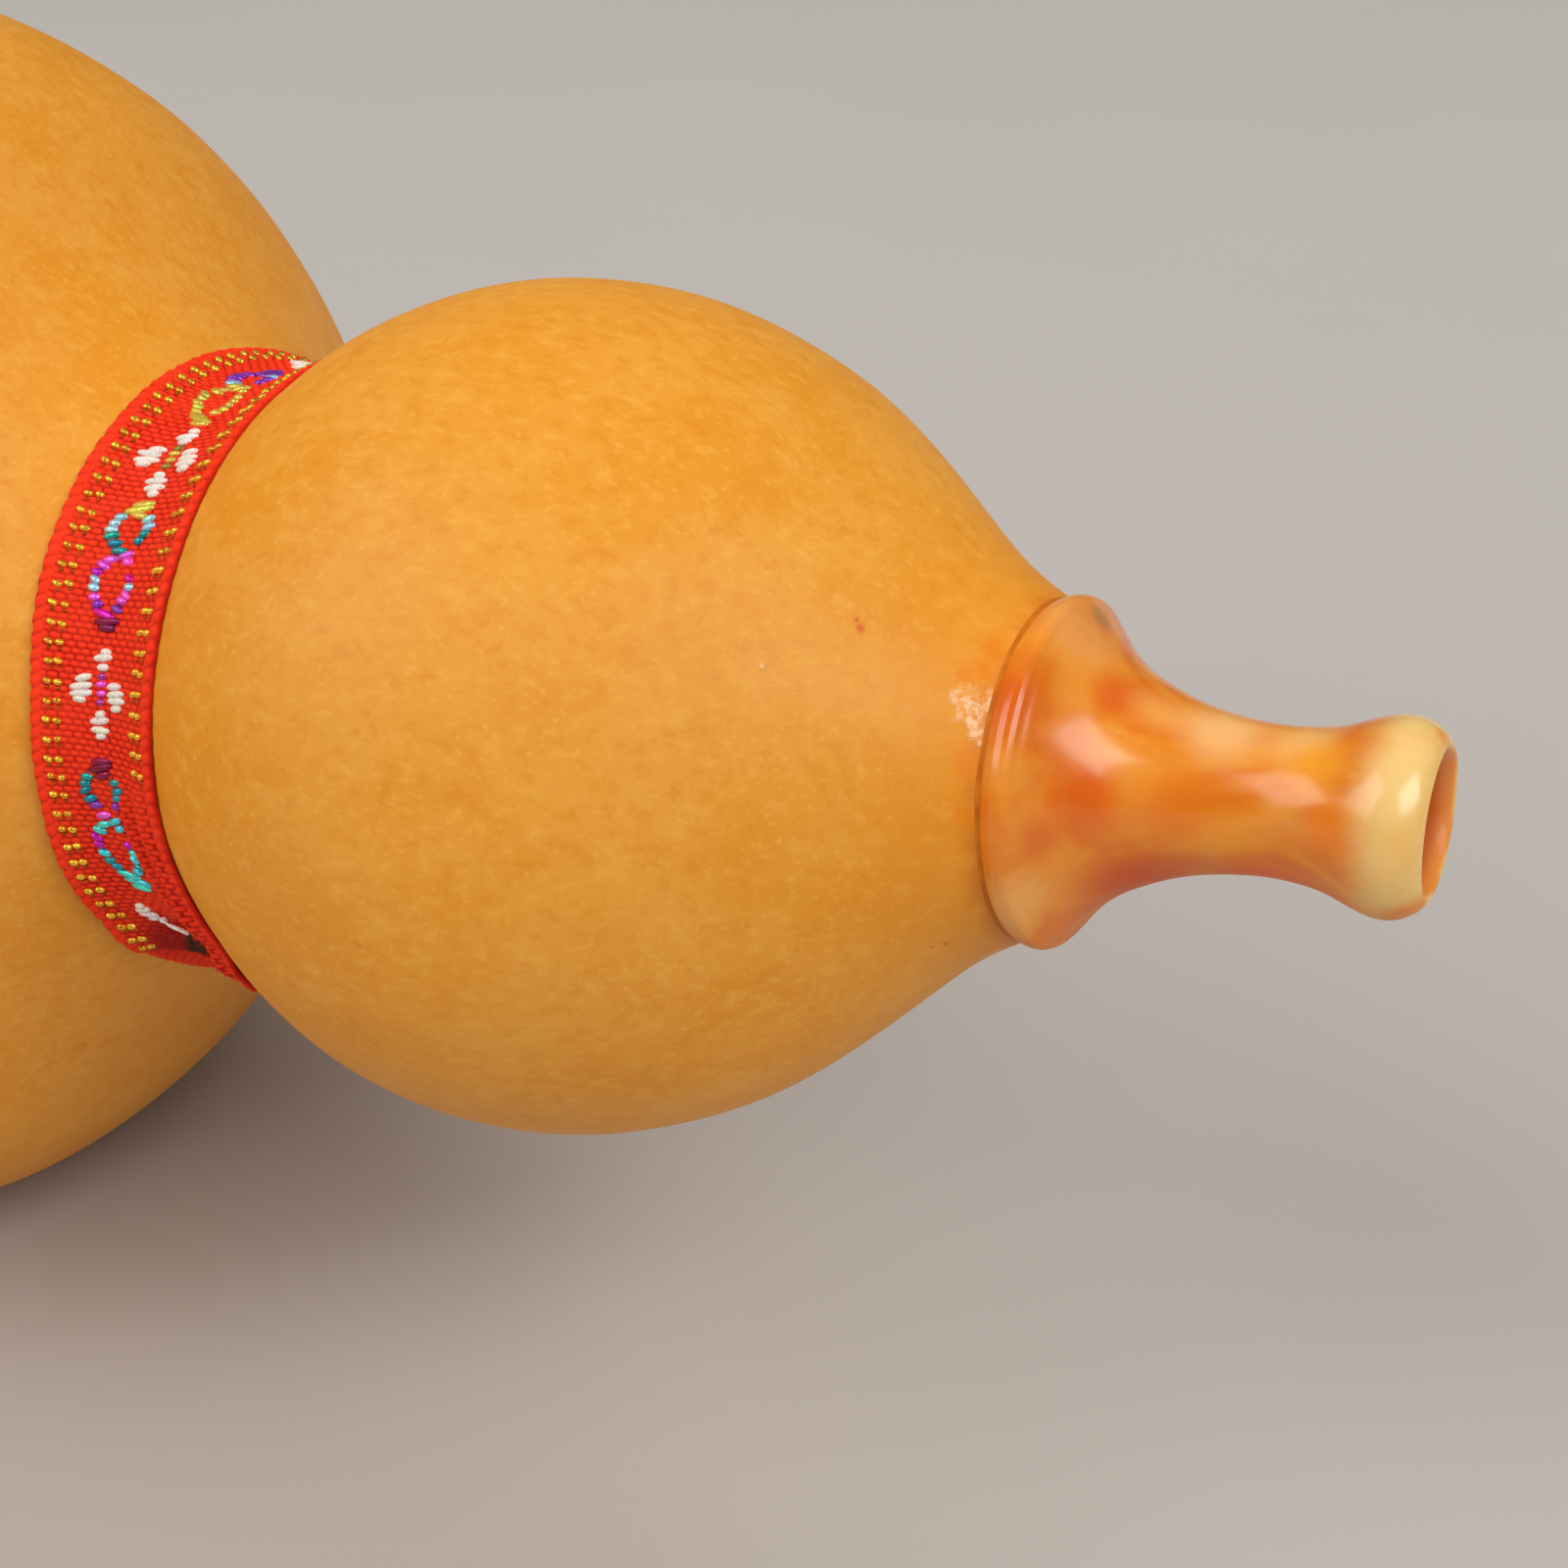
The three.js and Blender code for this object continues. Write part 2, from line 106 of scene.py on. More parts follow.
def eased(curve, sigma, step):
    """The curve with its small waves taken out and its ends and size kept."""
    k = int(4 * sigma / step) + 1
    x = np.arange(-k, k + 1) * step
    w = np.exp(-0.5 * (x / sigma) ** 2)
    w /= w.sum()

    def blur(c):
        head, tail = 2 * c[0] - c[k:0:-1], 2 * c[-1] - c[-2:-k - 2:-1]
        full = np.vstack([head, c, tail])
        return np.stack([np.convolve(full[:, i], w, "valid") for i in (0, 1)], 1)

    once = blur(curve)
    return once + blur(curve - once)


def rounded(points, radius=0.35, steps=4, closed=True):
    """The same outline with its corners turned into small arcs. radius may be a list, one for each corner."""
    P = np.array(points, float)
    n, out = len(P), []
    for i in range(n):
        b = P[i]
        if not closed and i in (0, n - 1):
            out.append(b)
            continue
        u, v = P[i - 1] - b, P[(i + 1) % n] - b
        lu, lv = np.linalg.norm(u), np.linalg.norm(v)
        u, v = u / lu, v / lv
        inner = math.acos(max(-1, min(1, float(u @ v))))
        rr = radius[i] if hasattr(radius, "__len__") else radius
        if math.pi - inner < math.radians(12) or rr <= 0:
            out.append(b)
            continue
        d = min(rr / math.tan(inner / 2), 0.45 * lu, 0.45 * lv)
        for t in np.linspace(0, 1, steps + 1):
            out.append((1 - t) ** 2 * (b + u * d) + 2 * t * (1 - t) * b + t ** 2 * (b + v * d))
    return [tuple(p) for p in out]


def smoothstep(a, b, x):
    t = np.clip((np.asarray(x, float) - a) / (b - a), 0, 1)
    return t * t * (3 - 2 * t)


# ------------------------------------------------------------------ mesh helpers


def turned(profile, seg, ring=False, shape=None):
    """Vertices and faces of a turned piece from (s, radius) pairs. A ring's outline closes on itself."""
    ang = 2 * np.pi * np.arange(seg) / seg
    ca, sa = np.cos(ang), np.sin(ang)
    verts, rows, count = [], [], 0
    for s, r in profile:
        if r < 1e-6:
            verts.append(np.array([[0.0, 0.0, s]]))
            rows.append([count])
            count += 1
        else:
            verts.append(np.stack([r * ca, r * sa, np.full(seg, float(s))], 1))
            rows.append(list(range(count, count + seg)))
            count += seg
    V = np.vstack(verts)
    if shape is not None:
        V = shape(V)
    faces = []
    for a, b in list(zip(rows, rows[1:])) + ([(rows[-1], rows[0])] if ring else []):
        if len(a) == 1 and len(b) == 1:
            continue
        for k in range(seg):
            j = (k + 1) % seg
            if len(a) == 1:
                faces.append((a[0], b[j], b[k]))
            elif len(b) == 1:
                faces.append((a[k], a[j], b[0]))
            else:
                faces.append((a[k], a[j], b[j], b[k]))
    return V, faces


def outward(V, faces):
    """The faces, turned over if the closed mesh is inside out."""
    total = 0.0
    for size in (3, 4):
        F = np.array([f for f in faces if len(f) == size], int)
        if len(F):
            for i in range(1, size - 1):
                a, b, c = V[F[:, 0]], V[F[:, i]], V[F[:, i + 1]]
                total += float((a * np.cross(b, c)).sum())
    return faces if total >= 0 else [tuple(reversed(f)) for f in faces]


def placed(V, y=0.0):
    """Row-frame metres of points in mm about an axis that lies y to the side."""
    M = np.array(LOCAL)
    return ((np.asarray(V, float) + (0, y, 0)) * MM) @ M[:3, :3].T + M[:3, 3]


def new_object(name, V, faces, y=0.0, sharp=40.0):
    """An object from vertices in mm about the piece's own axis, which lies y to the side."""
    V = np.asarray(V, float)
    faces = outward(V - V.mean(0), faces)
    me = bpy.data.meshes.new(name)
    me.from_pydata(placed(V, y).tolist(), [], faces)
    me.update()
    me.polygons.foreach_set("use_smooth", [True] * len(me.polygons))
    if sharp is not None:
        me.set_sharp_from_angle(angle=math.radians(sharp))
    ob = bpy.data.objects.new(name, me)
    bpy.context.scene.collection.objects.link(ob)
    return ob


def cut(ob, cutters, y=0.0, sharp=40.0):
    """Takes the cutters' shapes out of ob. The cutters are (vertices, faces) in mm about ob's axis, apart from each other."""
    V, F, n = [], [], 0
    for v, f in cutters:
        f = outward(v - v.mean(0), f)
        V.append(v)
        F += [tuple(i + n for i in face) for face in f]
        n += len(v)
    me = bpy.data.meshes.new("cutter")
    me.from_pydata(placed(np.vstack(V), y).tolist(), [], F)
    tool = bpy.data.objects.new("cutter", me)
    bpy.context.scene.collection.objects.link(tool)
    mod = ob.modifiers.new("cut", "BOOLEAN")
    mod.operation, mod.solver, mod.object = "DIFFERENCE", "EXACT", tool
    bpy.context.view_layer.update()
    made = bpy.data.meshes.new_from_object(ob.evaluated_get(bpy.context.evaluated_depsgraph_get()))
    ob.modifiers.clear()
    old = ob.data
    ob.data = made
    made.name = ob.name
    bpy.data.meshes.remove(old)
    bpy.data.objects.remove(tool)
    made.polygons.foreach_set("use_smooth", [True] * len(made.polygons))
    made.set_sharp_from_angle(angle=math.radians(sharp))
    return ob


def saddle_cutter(s, rh, R, sign, seg=56):
    """A round cutter along "up" whose rim is eased where it meets a pipe of radius R."""
    phi = 2 * np.pi * np.arange(seg) / seg

    def ring(rho, lift, flat=None):
        x = np.sqrt(np.maximum(R ** 2 - (rho * np.sin(phi)) ** 2, 0)) + lift if flat is None else np.full(seg, flat)
        return np.stack([sign * x, rho * np.sin(phi), s + rho * np.cos(phi)], 1)

    rows = [ring(rh, 0, 0.2), ring(rh, -1.6), ring(rh, -0.42), ring(rh + 0.05, -0.24), ring(rh + 0.16, -0.1),
            ring(rh + 0.34, 0.0), ring(rh + 0.6, 0.14), ring(rh + 0.6, 0, R + 3)]
    V = np.vstack(rows)
    F = []
    for i in range(len(rows) - 1):
        for k in range(seg):
            j = (k + 1) % seg
            F.append((i * seg + k, i * seg + j, (i + 1) * seg + j, (i + 1) * seg + k))
    V = np.vstack([V, [[sign * 0.2, 0, s]], [[sign * (R + 3), 0, s]]])
    a, b, top = len(V) - 2, len(V) - 1, (len(rows) - 1) * seg
    for k in range(seg):
        j = (k + 1) % seg
        F.append((a, j, k))
        F.append((b, top + k, top + j))
    return V, F


def side_cutter(s, rh, R, seg=32):
    """A small crosswise hole right through, with its two rims eased."""
    prof = [(-R - 3, 0), (-R - 3, rh + 0.35), (-R + 0.05, rh + 0.3), (-R + 0.35, rh), (R - 0.35, rh),
            (R - 0.05, rh + 0.3), (R + 3, rh + 0.35), (R + 3, 0)]
    V, F = turned(prof, seg)
    V = np.stack([V[:, 0], V[:, 2], V[:, 1] + s], 1)
    return V, F


def box_cutter(x0, x1, y0, y1, s0, s1):
    V = np.array([(x, y, z) for x in (x0, x1) for y in (y0, y1) for z in (s0, s1)], float)
    F = [(0, 1, 3, 2), (4, 6, 7, 5), (0, 4, 5, 1), (2, 3, 7, 6), (0, 2, 6, 4), (1, 5, 7, 3)]
    return V, F


def waves(V, seed, size, amount, octaves=3):
    """A smooth seeded unevenness: a value for each vertex, within about +-amount."""
    rng = np.random.default_rng(seed)
    out = np.zeros(len(V))
    for o in range(octaves):
        for _ in range(4):
            d = rng.normal(size=3)
            d /= np.linalg.norm(d)
            out += np.sin(V @ d * (2 * np.pi / (size / 1.9 ** o)) + rng.uniform(0, 6.28)) / 1.9 ** o / 3.0
    return out * amount


def uneven(seed, size, amount):
    """Moves vertices a little along the line from the axis, as hand work does."""
    def go(V):
        r = np.hypot(V[:, 0], V[:, 1])
        d = np.where(r[:, None] > 1e-6, V[:, :2] / np.maximum(r, 1e-6)[:, None], 0)
        w = waves(V, seed, size, amount)
        V = V.copy()
        V[:, :2] += d * w[:, None]
        V[:, 2] += waves(V, seed + 7, size, amount * 0.6)
        return V
    return go


def dress(ob, body, slot, material, *replaces):
    ob.data.materials.clear()
    ob.data.materials.append(material)
    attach(ob, body)
    if replaces:
        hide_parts(*replaces)
    return ob


# ------------------------------------------------------------------ material helpers


class Nodes:
    """Short ways to write a material's nodes."""

    def __init__(self, name, y=0.0):
        self.mat = bpy.data.materials.new(name)
        self.mat.use_nodes = True
        self.nt = self.mat.node_tree
        self.bsdf = next(n for n in self.nt.nodes if n.type == "BSDF_PRINCIPLED")
        # millimetres in the instrument's own frame, about an axis that lies y to the side
        co = self.nt.nodes.new("ShaderNodeTexCoord").outputs["Object"]
        rel = self.add("ShaderNodeVectorMath", operation="SUBTRACT", i0=co, i1=tuple(ORIGIN + SIDE * (y * MM)))
        dots = [self.add("ShaderNodeVectorMath", out=1, operation="DOT_PRODUCT", i0=rel, i1=tuple(v * 1000.0)) for v in (UP, SIDE, AXIS)]
        self.base = self.add("ShaderNodeCombineXYZ", i0=dots[0], i1=dots[1], i2=dots[2])

    def put(self, socket, value):
        if isinstance(value, bpy.types.NodeSocket):
            self.nt.links.new(value, socket)
        else:
            socket.default_value = value

    def add(self, kind, out=0, **ins):
        node = self.nt.nodes.new(kind)
        for key, value in ins.items():
            if hasattr(node, key) and key not in node.inputs:
                setattr(node, key, value)
        for key, value in ins.items():
            if key in node.inputs:
                self.put(node.inputs[key], value)
            elif key.startswith("i") and key[1:].isdigit():
                self.put(node.inputs[int(key[1:])], value)
        return node.outputs[out]

    def mm(self, x=1.0, y=None, z=None, shift=(0, 0, 0)):
        """The piece's own coordinates in mm, scaled by x, y, z."""
        y, z = x if y is None else y, x if z is None else z
        if (x, y, z) == (1, 1, 1) and not any(shift):
            return self.base
        return self.add("ShaderNodeVectorMath", operation="MULTIPLY_ADD", i0=self.base, i1=(x, y, z), i2=shift)

    def noise(self, vec, scale=1.0, detail=3.0, rough=0.5, warp=0.0):
        return self.add("ShaderNodeTexNoise", Vector=vec, Scale=scale, Detail=detail, Roughness=rough, Distortion=warp)

    def voronoi(self, vec, scale=1.0, feature="F1", random=1.0):
        node = self.nt.nodes.new("ShaderNodeTexVoronoi")
        node.feature = feature
        self.put(node.inputs["Vector"], vec)
        node.inputs["Scale"].default_value = scale
        node.inputs["Randomness"].default_value = random
        return node.outputs["Distance"]

    def maths(self, op, a, b=0.0, c=0.0, clamp=False):
        return self.add("ShaderNodeMath", operation=op, use_clamp=clamp, i0=a, i1=b, i2=c)

    def between(self, value, lo, hi, to_lo=0.0, to_hi=1.0, smooth=True):
        node = self.nt.nodes.new("ShaderNodeMapRange")
        node.interpolation_type = "SMOOTHSTEP" if smooth else "LINEAR"
        node.clamp = True
        self.put(node.inputs["Value"], value)
        for key, v in zip(("From Min", "From Max", "To Min", "To Max"), (lo, hi, to_lo, to_hi)):
            node.inputs[key].default_value = v
        return node.outputs[0]

    def mix(self, fac, a, b, blend="MIX"):
        node = self.nt.nodes.new("ShaderNodeMix")
        node.data_type, node.blend_type = "RGBA", blend
        self.put(node.inputs[0], fac)
        self.put(node.inputs[6], a if isinstance(a, bpy.types.NodeSocket) else (*a, 1.0))
        self.put(node.inputs[7], b if isinstance(b, bpy.types.NodeSocket) else (*b, 1.0))
        return node.outputs[2]

    def split(self, vec):
        node = self.nt.nodes.new("ShaderNodeSeparateXYZ")
        self.put(node.inputs[0], vec)
        return node.outputs

    def blob(self, centre, radius, soft=0.5, warp=None):
        """1 inside a round spot about centre (mm), falling to 0 at radius."""
        co = self.mm() if warp is None else warp
        d = self.add("ShaderNodeVectorMath", out=1, operation="DISTANCE", i0=co, i1=tuple(centre))
        return self.between(d, radius * (1 - soft), radius, 1.0, 0.0)

    def warped(self, scale, amount, detail=2.0):
        """The piece's own coordinates in mm, pushed about by noise."""
        co = self.mm()
        node = self.nt.nodes.new("ShaderNodeTexNoise")
        self.put(node.inputs["Vector"], co)
        node.inputs["Scale"].default_value = scale
        node.inputs["Detail"].default_value = detail
        off = self.add("ShaderNodeVectorMath", operation="SUBTRACT", i0=node.outputs["Color"], i1=(0.5, 0.5, 0.5))
        off = self.add("ShaderNodeVectorMath", operation="MULTIPLY", i0=off, i1=(2 * amount,) * 3)
        return self.add("ShaderNodeVectorMath", operation="ADD", i0=co, i1=off)

    def bump(self, height, distance, strength=1.0, before=None):
        node = self.nt.nodes.new("ShaderNodeBump")
        node.inputs["Strength"].default_value = strength
        node.inputs["Distance"].default_value = distance * MM
        self.put(node.inputs["Height"], height)
        if before is not None:
            self.put(node.inputs["Normal"], before)
        return node.outputs[0]

    def surface(self, **values):
        for key, value in values.items():
            name = key.replace("_", " ")
            socket = next(s for s in self.bsdf.inputs if s.name.lower() == name.lower())
            if isinstance(value, tuple) and len(value) == 3 and socket.type == "RGBA":
                value = (*value, 1.0)
            self.put(socket, value)
        return self.mat


def at(s, theta, r):
    """A point of the instrument's own frame, in mm, from its station, its angle from "up" towards the left side, and its radius."""
    t = math.radians(theta)
    return (r * math.cos(t), r * math.sin(t), s)


# ------------------------------------------------------------------ materials


def gourd_material():
    n = Nodes("gourd_varnish")
    co = n.mm()
    big = n.noise(co, 0.040, 2.0, 0.5)
    mid = n.noise(n.mm(1, 1, 0.8), 0.20, 4.0, 0.55)
    fine = n.noise(n.mm(1, 1, 0.7), 0.95, 2.5, 0.55)
    grain = n.noise(n.mm(1, 1, 0.6), 2.4, 2.0, 0.5)
    col = n.mix(n.between(big, 0.35, 0.66), (0.806, 0.316, 0.017), (0.826, 0.348, 0.036))
    col = n.mix(n.between(mid, 0.46, 0.66, 0, 0.60), col, (0.836, 0.372, 0.046))
    col = n.mix(n.between(mid, 0.50, 0.30, 0, 0.50), col, (0.775, 0.286, 0.010))
    col = n.mix(n.between(fine, 0.52, 0.70, 0, 0.55), col, (0.868, 0.410, 0.056))
    col = n.mix(n.between(fine, 0.48, 0.30, 0, 0.45), col, (0.740, 0.262, 0.008))
    col = n.mix(n.between(grain, 0.56, 0.76, 0, 0.45), col, (0.900, 0.455, 0.085))
    col = n.mix(n.between(grain, 0.44, 0.26, 0, 0.18), col, (0.720, 0.245, 0.006))
    # the colour is deeper near the stem
    x, y, z = n.split(co)
    col = n.mix(n.between(z, 24.0, 33.0, 0, 0.5), col, (0.770, 0.265, 0.012))
    # painted shade: a darker band, broken by noise, round the joint with the flange, for the contact shade there; an
    # orange stain and glue residue along the flange of the mouthpiece
    warp = n.warped(0.85, 1.30, 4.0)
    edge = n.maths("MULTIPLY", n.between(z, 31.9, 33.3), n.between(n.noise(n.mm(), 0.35, 2.0), 0.32, 0.55))
    col = n.mix(n.maths("MULTIPLY", edge, 0.75), col, (0.640, 0.180, 0.006))
    stain = None
    for centre, radius in ((at(32.5, 24, 11.4), 1.5), (at(32.2, 33, 11.5), 1.35), (at(31.35, 36.5, 12.0), 0.95), (at(32.6, 62, 11.3), 1.2),
                           (at(32.6, 80, 11.3), 1.1)):
        spot = n.blob(centre, radius, 0.75, warp)
        stain = spot if stain is None else n.maths("MAXIMUM", stain, spot)
    col = n.mix(n.maths("MULTIPLY", stain, 0.85), col, (0.790, 0.225, 0.001))
    glue = None
    for centre, radius in ((at(31.75, 42.5, 11.75), 1.0), (at(32.3, 47, 11.4), 1.25), (at(33.0, 53, 11.1), 1.0), (at(33.2, 42, 10.9), 0.8)):
        spot = n.blob(centre, radius, 0.6, n.warped(1.3, 0.8, 4.0))
        glue = spot if glue is None else n.maths("MAXIMUM", glue, spot)
    crumb = n.noise(n.mm(), 2.1, 3.0, 0.6)
    # glue residue, its base colour made pale pink, which also paints its glints as painted highlight
    col = n.mix(n.maths("MULTIPLY", glue, n.between(crumb, 0.40, 0.62, 0.05, 0.85)), col, (0.940, 0.600, 0.340))
    # red marks: two specks, a broken scratch, a faint one
    marks = None
    for centre, radius in ((at(26.05, 35.7, 16.05), 0.42), (at(25.75, 34.3, 16.3), 0.25), (at(30.2, 126.4, 12.6), 0.32),
                           (at(29.6, 125.0, 13.2), 0.22)):
        m = n.blob(centre, radius, 0.7)
        marks = m if marks is None else n.maths("MAXIMUM", marks, m)

    def scratch(a, b, width, level):
        a, b = Vector(a), Vector(b)
        d = b - a
        rel = n.add("ShaderNodeVectorMath", operation="SUBTRACT", i0=n.warped(0.4, 0.5, 2.0), i1=tuple(a))
        dot = n.add("ShaderNodeVectorMath", out=1, operation="DOT_PRODUCT", i0=rel, i1=tuple(d / d.length_squared))
        t = n.maths("MINIMUM", n.maths("MAXIMUM", dot, 0.0), 1.0)
        near = n.add("ShaderNodeVectorMath", operation="SCALE", i0=tuple(d))
        near.node.inputs["Scale"].default_value = 1.0
        n.put(near.node.inputs["Scale"], t)
        dist = n.add("ShaderNodeVectorMath", out=1, operation="DISTANCE", i0=rel, i1=near)
        line = n.between(dist, width * 0.3, width, 1.0, 0.0)
        return n.maths("MULTIPLY", line, n.between(n.noise(n.mm(), 1.7, 2.0), 0.48, 0.6, 0, level))

    for m in (scratch(at(20.2, 109.6, 21.1), at(24.6, 108.9, 17.4), 0.20, 1.0),
              scratch(at(16.0, 110.6, 24.2), at(20.2, 109.8, 21.1), 0.16, 0.7),
              scratch(at(-0.6, 93.6, 29.5), at(1.4, 96.2, 29.4), 0.22, 0.45)):
        marks = n.maths("MAXIMUM", marks, m)
    col = n.mix(n.maths("MULTIPLY", marks, 0.8), col, (0.700, 0.110, 0.012))
    # small raised dots of dried varnish, their colour lightened as painted highlight specks
    dots = n.maths("MAXIMUM", n.blob(at(22.3, 49.7, 19.4), 0.26, 0.6), n.blob(at(11.7, 116.2, 26.5), 0.16, 0.6))
    col = n.mix(n.maths("MULTIPLY", dots, 0.6), col, (0.92, 0.62, 0.26))
    height = n.maths("ADD", n.maths("MULTIPLY", mid, 0.35), n.maths("MULTIPLY", fine, 0.16))
    height = n.maths("ADD", height, n.maths("MULTIPLY", grain, 0.10))
    height = n.maths("ADD", height, n.maths("MULTIPLY", glue, n.maths("MULTIPLY", crumb, 1.6)))
    height = n.maths("ADD", height, dots)
    rough = n.between(fine, 0.3, 0.7, 0.50, 0.58, False)
    rough = n.maths("SUBTRACT", rough, n.maths("MULTIPLY", glue, 0.36))
    return n.surface(Base_Color=col, Roughness=rough, Normal=n.bump(height, 0.055), IOR=1.38, Coat_Weight=0.05,
                     Coat_Roughness=0.40, Coat_IOR=1.45, Subsurface_Weight=0.05, Subsurface_Radius=(1.0, 0.35, 0.06),
                     Subsurface_Scale=0.0010)


def agate_material(name, seed, mouthpiece=False):
    """Polished resin with cream and dark orange swirls."""
    n = Nodes(name)
    shift = (seed * 13.7, seed * 5.1, seed * 8.3)
    co = n.mm(shift=shift)
    flow = n.noise(co, 0.085, 2.5, 0.5, 1.6)
    curl = n.noise(n.mm(1, 1, 0.55, shift), 0.19, 3.0, 0.5, 2.2)
    wisp = n.noise(n.mm(1, 1, 0.35, shift), 0.42, 3.5, 0.55, 1.5)
    col = n.mix(n.between(flow, 0.36, 0.64), (0.700, 0.175, 0.008), (0.820, 0.300, 0.030))
    col = n.mix(n.between(curl, 0.52, 0.76, 0, 0.75), col, (0.830, 0.420, 0.105))
    col = n.mix(n.between(curl, 0.47, 0.28, 0, 0.75), col, (0.610, 0.120, 0.004))
    col = n.mix(n.between(wisp, 0.62, 0.84, 0, 0.25), col, (0.870, 0.540, 0.210))
    if mouthpiece:
        w = n.warped(0.16, 1.5, 2.0)
        w2 = n.warped(0.35, 0.9, 3.0)
        soft = n.warped(0.10, 0.8, 1.0)
        _, _, z = n.split(n.warped(0.22, 0.55, 2.0))
        # body: warm orange over the swirls
        col = n.mix(0.62, col, n.mix(n.between(n.noise(n.mm(1, 1, 0.5), 0.16, 2.0, 0.5, 1.0), 0.4, 0.62),
                                     (0.760, 0.170, 0.004), (0.880, 0.310, 0.018)))
        for centre, radius, softness, weight, tint, field in (
                (at(36.4, 0, 10.4), 4.8, 0.75, 0.75, (0.880, 0.380, 0.095), w),      # painted reflection: pale top of the flange
                (at(37.2, 24, 8.8), 2.6, 0.8, 0.65, (0.860, 0.340, 0.040), w2),      # yellow patch under it
                (at(39.6, 14, 6.9), 2.7, 0.8, 0.85, (0.720, 0.120, 0.006), w2),      # dark swirl beside it
                (at(34.6, 42, 11.2), 2.8, 0.8, 0.75, (0.700, 0.120, 0.008), w2),     # dark patch at the rim
                (at(35.1, 62, 10.8), 2.2, 0.8, 0.65, (0.860, 0.340, 0.050), w2),     # cream streak below it
                (at(38.6, 74, 7.6), 3.6, 0.85, 0.90, (0.760, 0.120, 0.002), w),      # dark low band
                (at(36.2, 90, 9.4), 2.4, 0.85, 0.75, (0.720, 0.130, 0.004), w),
                (at(37.4, 54, 8.8), 2.0, 0.9, 0.55, (0.740, 0.160, 0.008), w2),
                (at(35.0, 112, 11.0), 3.8, 0.8, 0.80, (0.840, 0.400, 0.095), w2),    # cream patch low on the flange
                # painted reflection: the next three spots pale the top of the neck
                (at(41.6, 12, 6.2), 2.6, 0.85, 0.60, (0.860, 0.420, 0.090), soft),
                (at(45.4, 12, 5.2), 4.0, 0.85, 0.85, (0.900, 0.520, 0.190), soft),   # painted reflection: pale top of the neck
                (at(50.2, 12, 4.9), 3.2, 0.85, 0.75, (0.910, 0.520, 0.160), soft),
                (at(43.8, 78, 5.3), 3.4, 0.85, 0.70, (0.800, 0.180, 0.002), soft),
                (at(51.6, 36, 5.0), 3.0, 0.85, 0.80, (0.930, 0.370, 0.022), soft),   # strongest orange
                (at(53.2, 78, 5.5), 2.8, 0.8, 0.80, (0.900, 0.230, 0.002), soft),
                (at(46.6, 96, 5.0), 3.0, 0.85, 0.65, (0.860, 0.300, 0.014), soft),
                (at(41.0, 136, 6.6), 5.4, 0.8, 0.90, (0.700, 0.082, 0.001), w),      # painted shade: dark underside
                (at(48.5, 142, 5.0), 4.5, 0.7, 0.80, (0.880, 0.130, 0.001), w)):
            col = n.mix(n.maths("MULTIPLY", n.blob(centre, radius, softness, field), weight), col, tint)
        # cream lip, fading into the neck
        lip = n.between(z, 53.0, 56.3)
        cream = n.mix(n.between(n.noise(n.mm(1, 1, 0.4), 0.30, 2.0), 0.35, 0.65), (0.880, 0.560, 0.170), (0.900, 0.640, 0.240))
        col = n.mix(n.maths("MULTIPLY", lip, 0.92), col, cream)
        # the mouth's edge and the bore turn orange again, and deeper in the bore the orange darkens as painted shade
        x0, y0, z0 = n.split(n.mm())
        rad = n.maths("SQRT", n.maths("ADD", n.maths("MULTIPLY", x0, x0), n.maths("MULTIPLY", y0, y0)))
        for centre, radius, tint in ((at(56.9, 138, 5.6), 2.7, (0.850, 0.220, 0.005)), (at(57.7, 185, 4.9), 1.9, (0.860, 0.260, 0.012)),
                                     (at(57.9, 235, 4.9), 2.0, (0.850, 0.260, 0.014)), (at(58.0, -14, 5.0), 1.3, (0.870, 0.330, 0.020)),
                                     (at(57.9, -60, 4.9), 2.0, (0.860, 0.290, 0.016))):
            col = n.mix(n.maths("MULTIPLY", n.blob(centre, radius, 0.7, soft), 0.85), col, tint)
        end = n.maths("MULTIPLY", n.between(rad, 4.30, 4.62, 1.0, 0.0), n.between(z0, 50.0, 53.0))
        # painted shade: darker red deeper inside the bore, orange at its mouth
        bore_tone_and_shade = n.mix(n.between(z0, 56.2, 57.4), (0.600, 0.085, 0.001), (0.820, 0.270, 0.036))
        col = n.mix(n.maths("MULTIPLY", end, 0.95), col, bore_tone_and_shade)
        hair = n.blob(at(35.9, -21, 10.0), 1.5, 0.7, w2)
        col = n.mix(n.maths("MULTIPLY", hair, 0.55), col, (0.330, 0.230, 0.070))
    # tiny bubbles and polishing pits
    cells = n.voronoi(n.mm(shift=shift), 0.55)
    pit = n.between(cells, 0.05, 0.16, 1.0, 0.0)
    pit = n.maths("MULTIPLY", pit, n.between(n.noise(co, 0.7, 1.0), 0.56, 0.62))
    ripple = n.noise(co, 0.12, 1.0)
    height = n.maths("ADD", n.maths("MULTIPLY", ripple, 1.0), n.maths("MULTIPLY", pit, -0.18))
    rough = n.between(n.noise(co, 0.6, 3.0), 0.35, 0.7, 0.20 if mouthpiece else 0.15, 0.29 if mouthpiece else 0.24, False)
    if mouthpiece:
        # the underside is duller, where it is handled less
        rough = n.maths("ADD", rough, n.between(n.maths("DIVIDE", x0, n.maths("MAXIMUM", rad, 0.1)), -0.15, -0.75, 0.0, 0.40))
    return n.surface(Base_Color=col, Roughness=rough, Normal=n.bump(height, 0.08), IOR=1.45, Coat_Weight=0.20 if mouthpiece else 0.22,
                     Coat_Roughness=0.13 if mouthpiece else 0.07, Coat_IOR=1.5, Subsurface_Weight=0.22, Subsurface_Radius=(1.0, 0.40, 0.08),
                     Subsurface_Scale=0.0009)


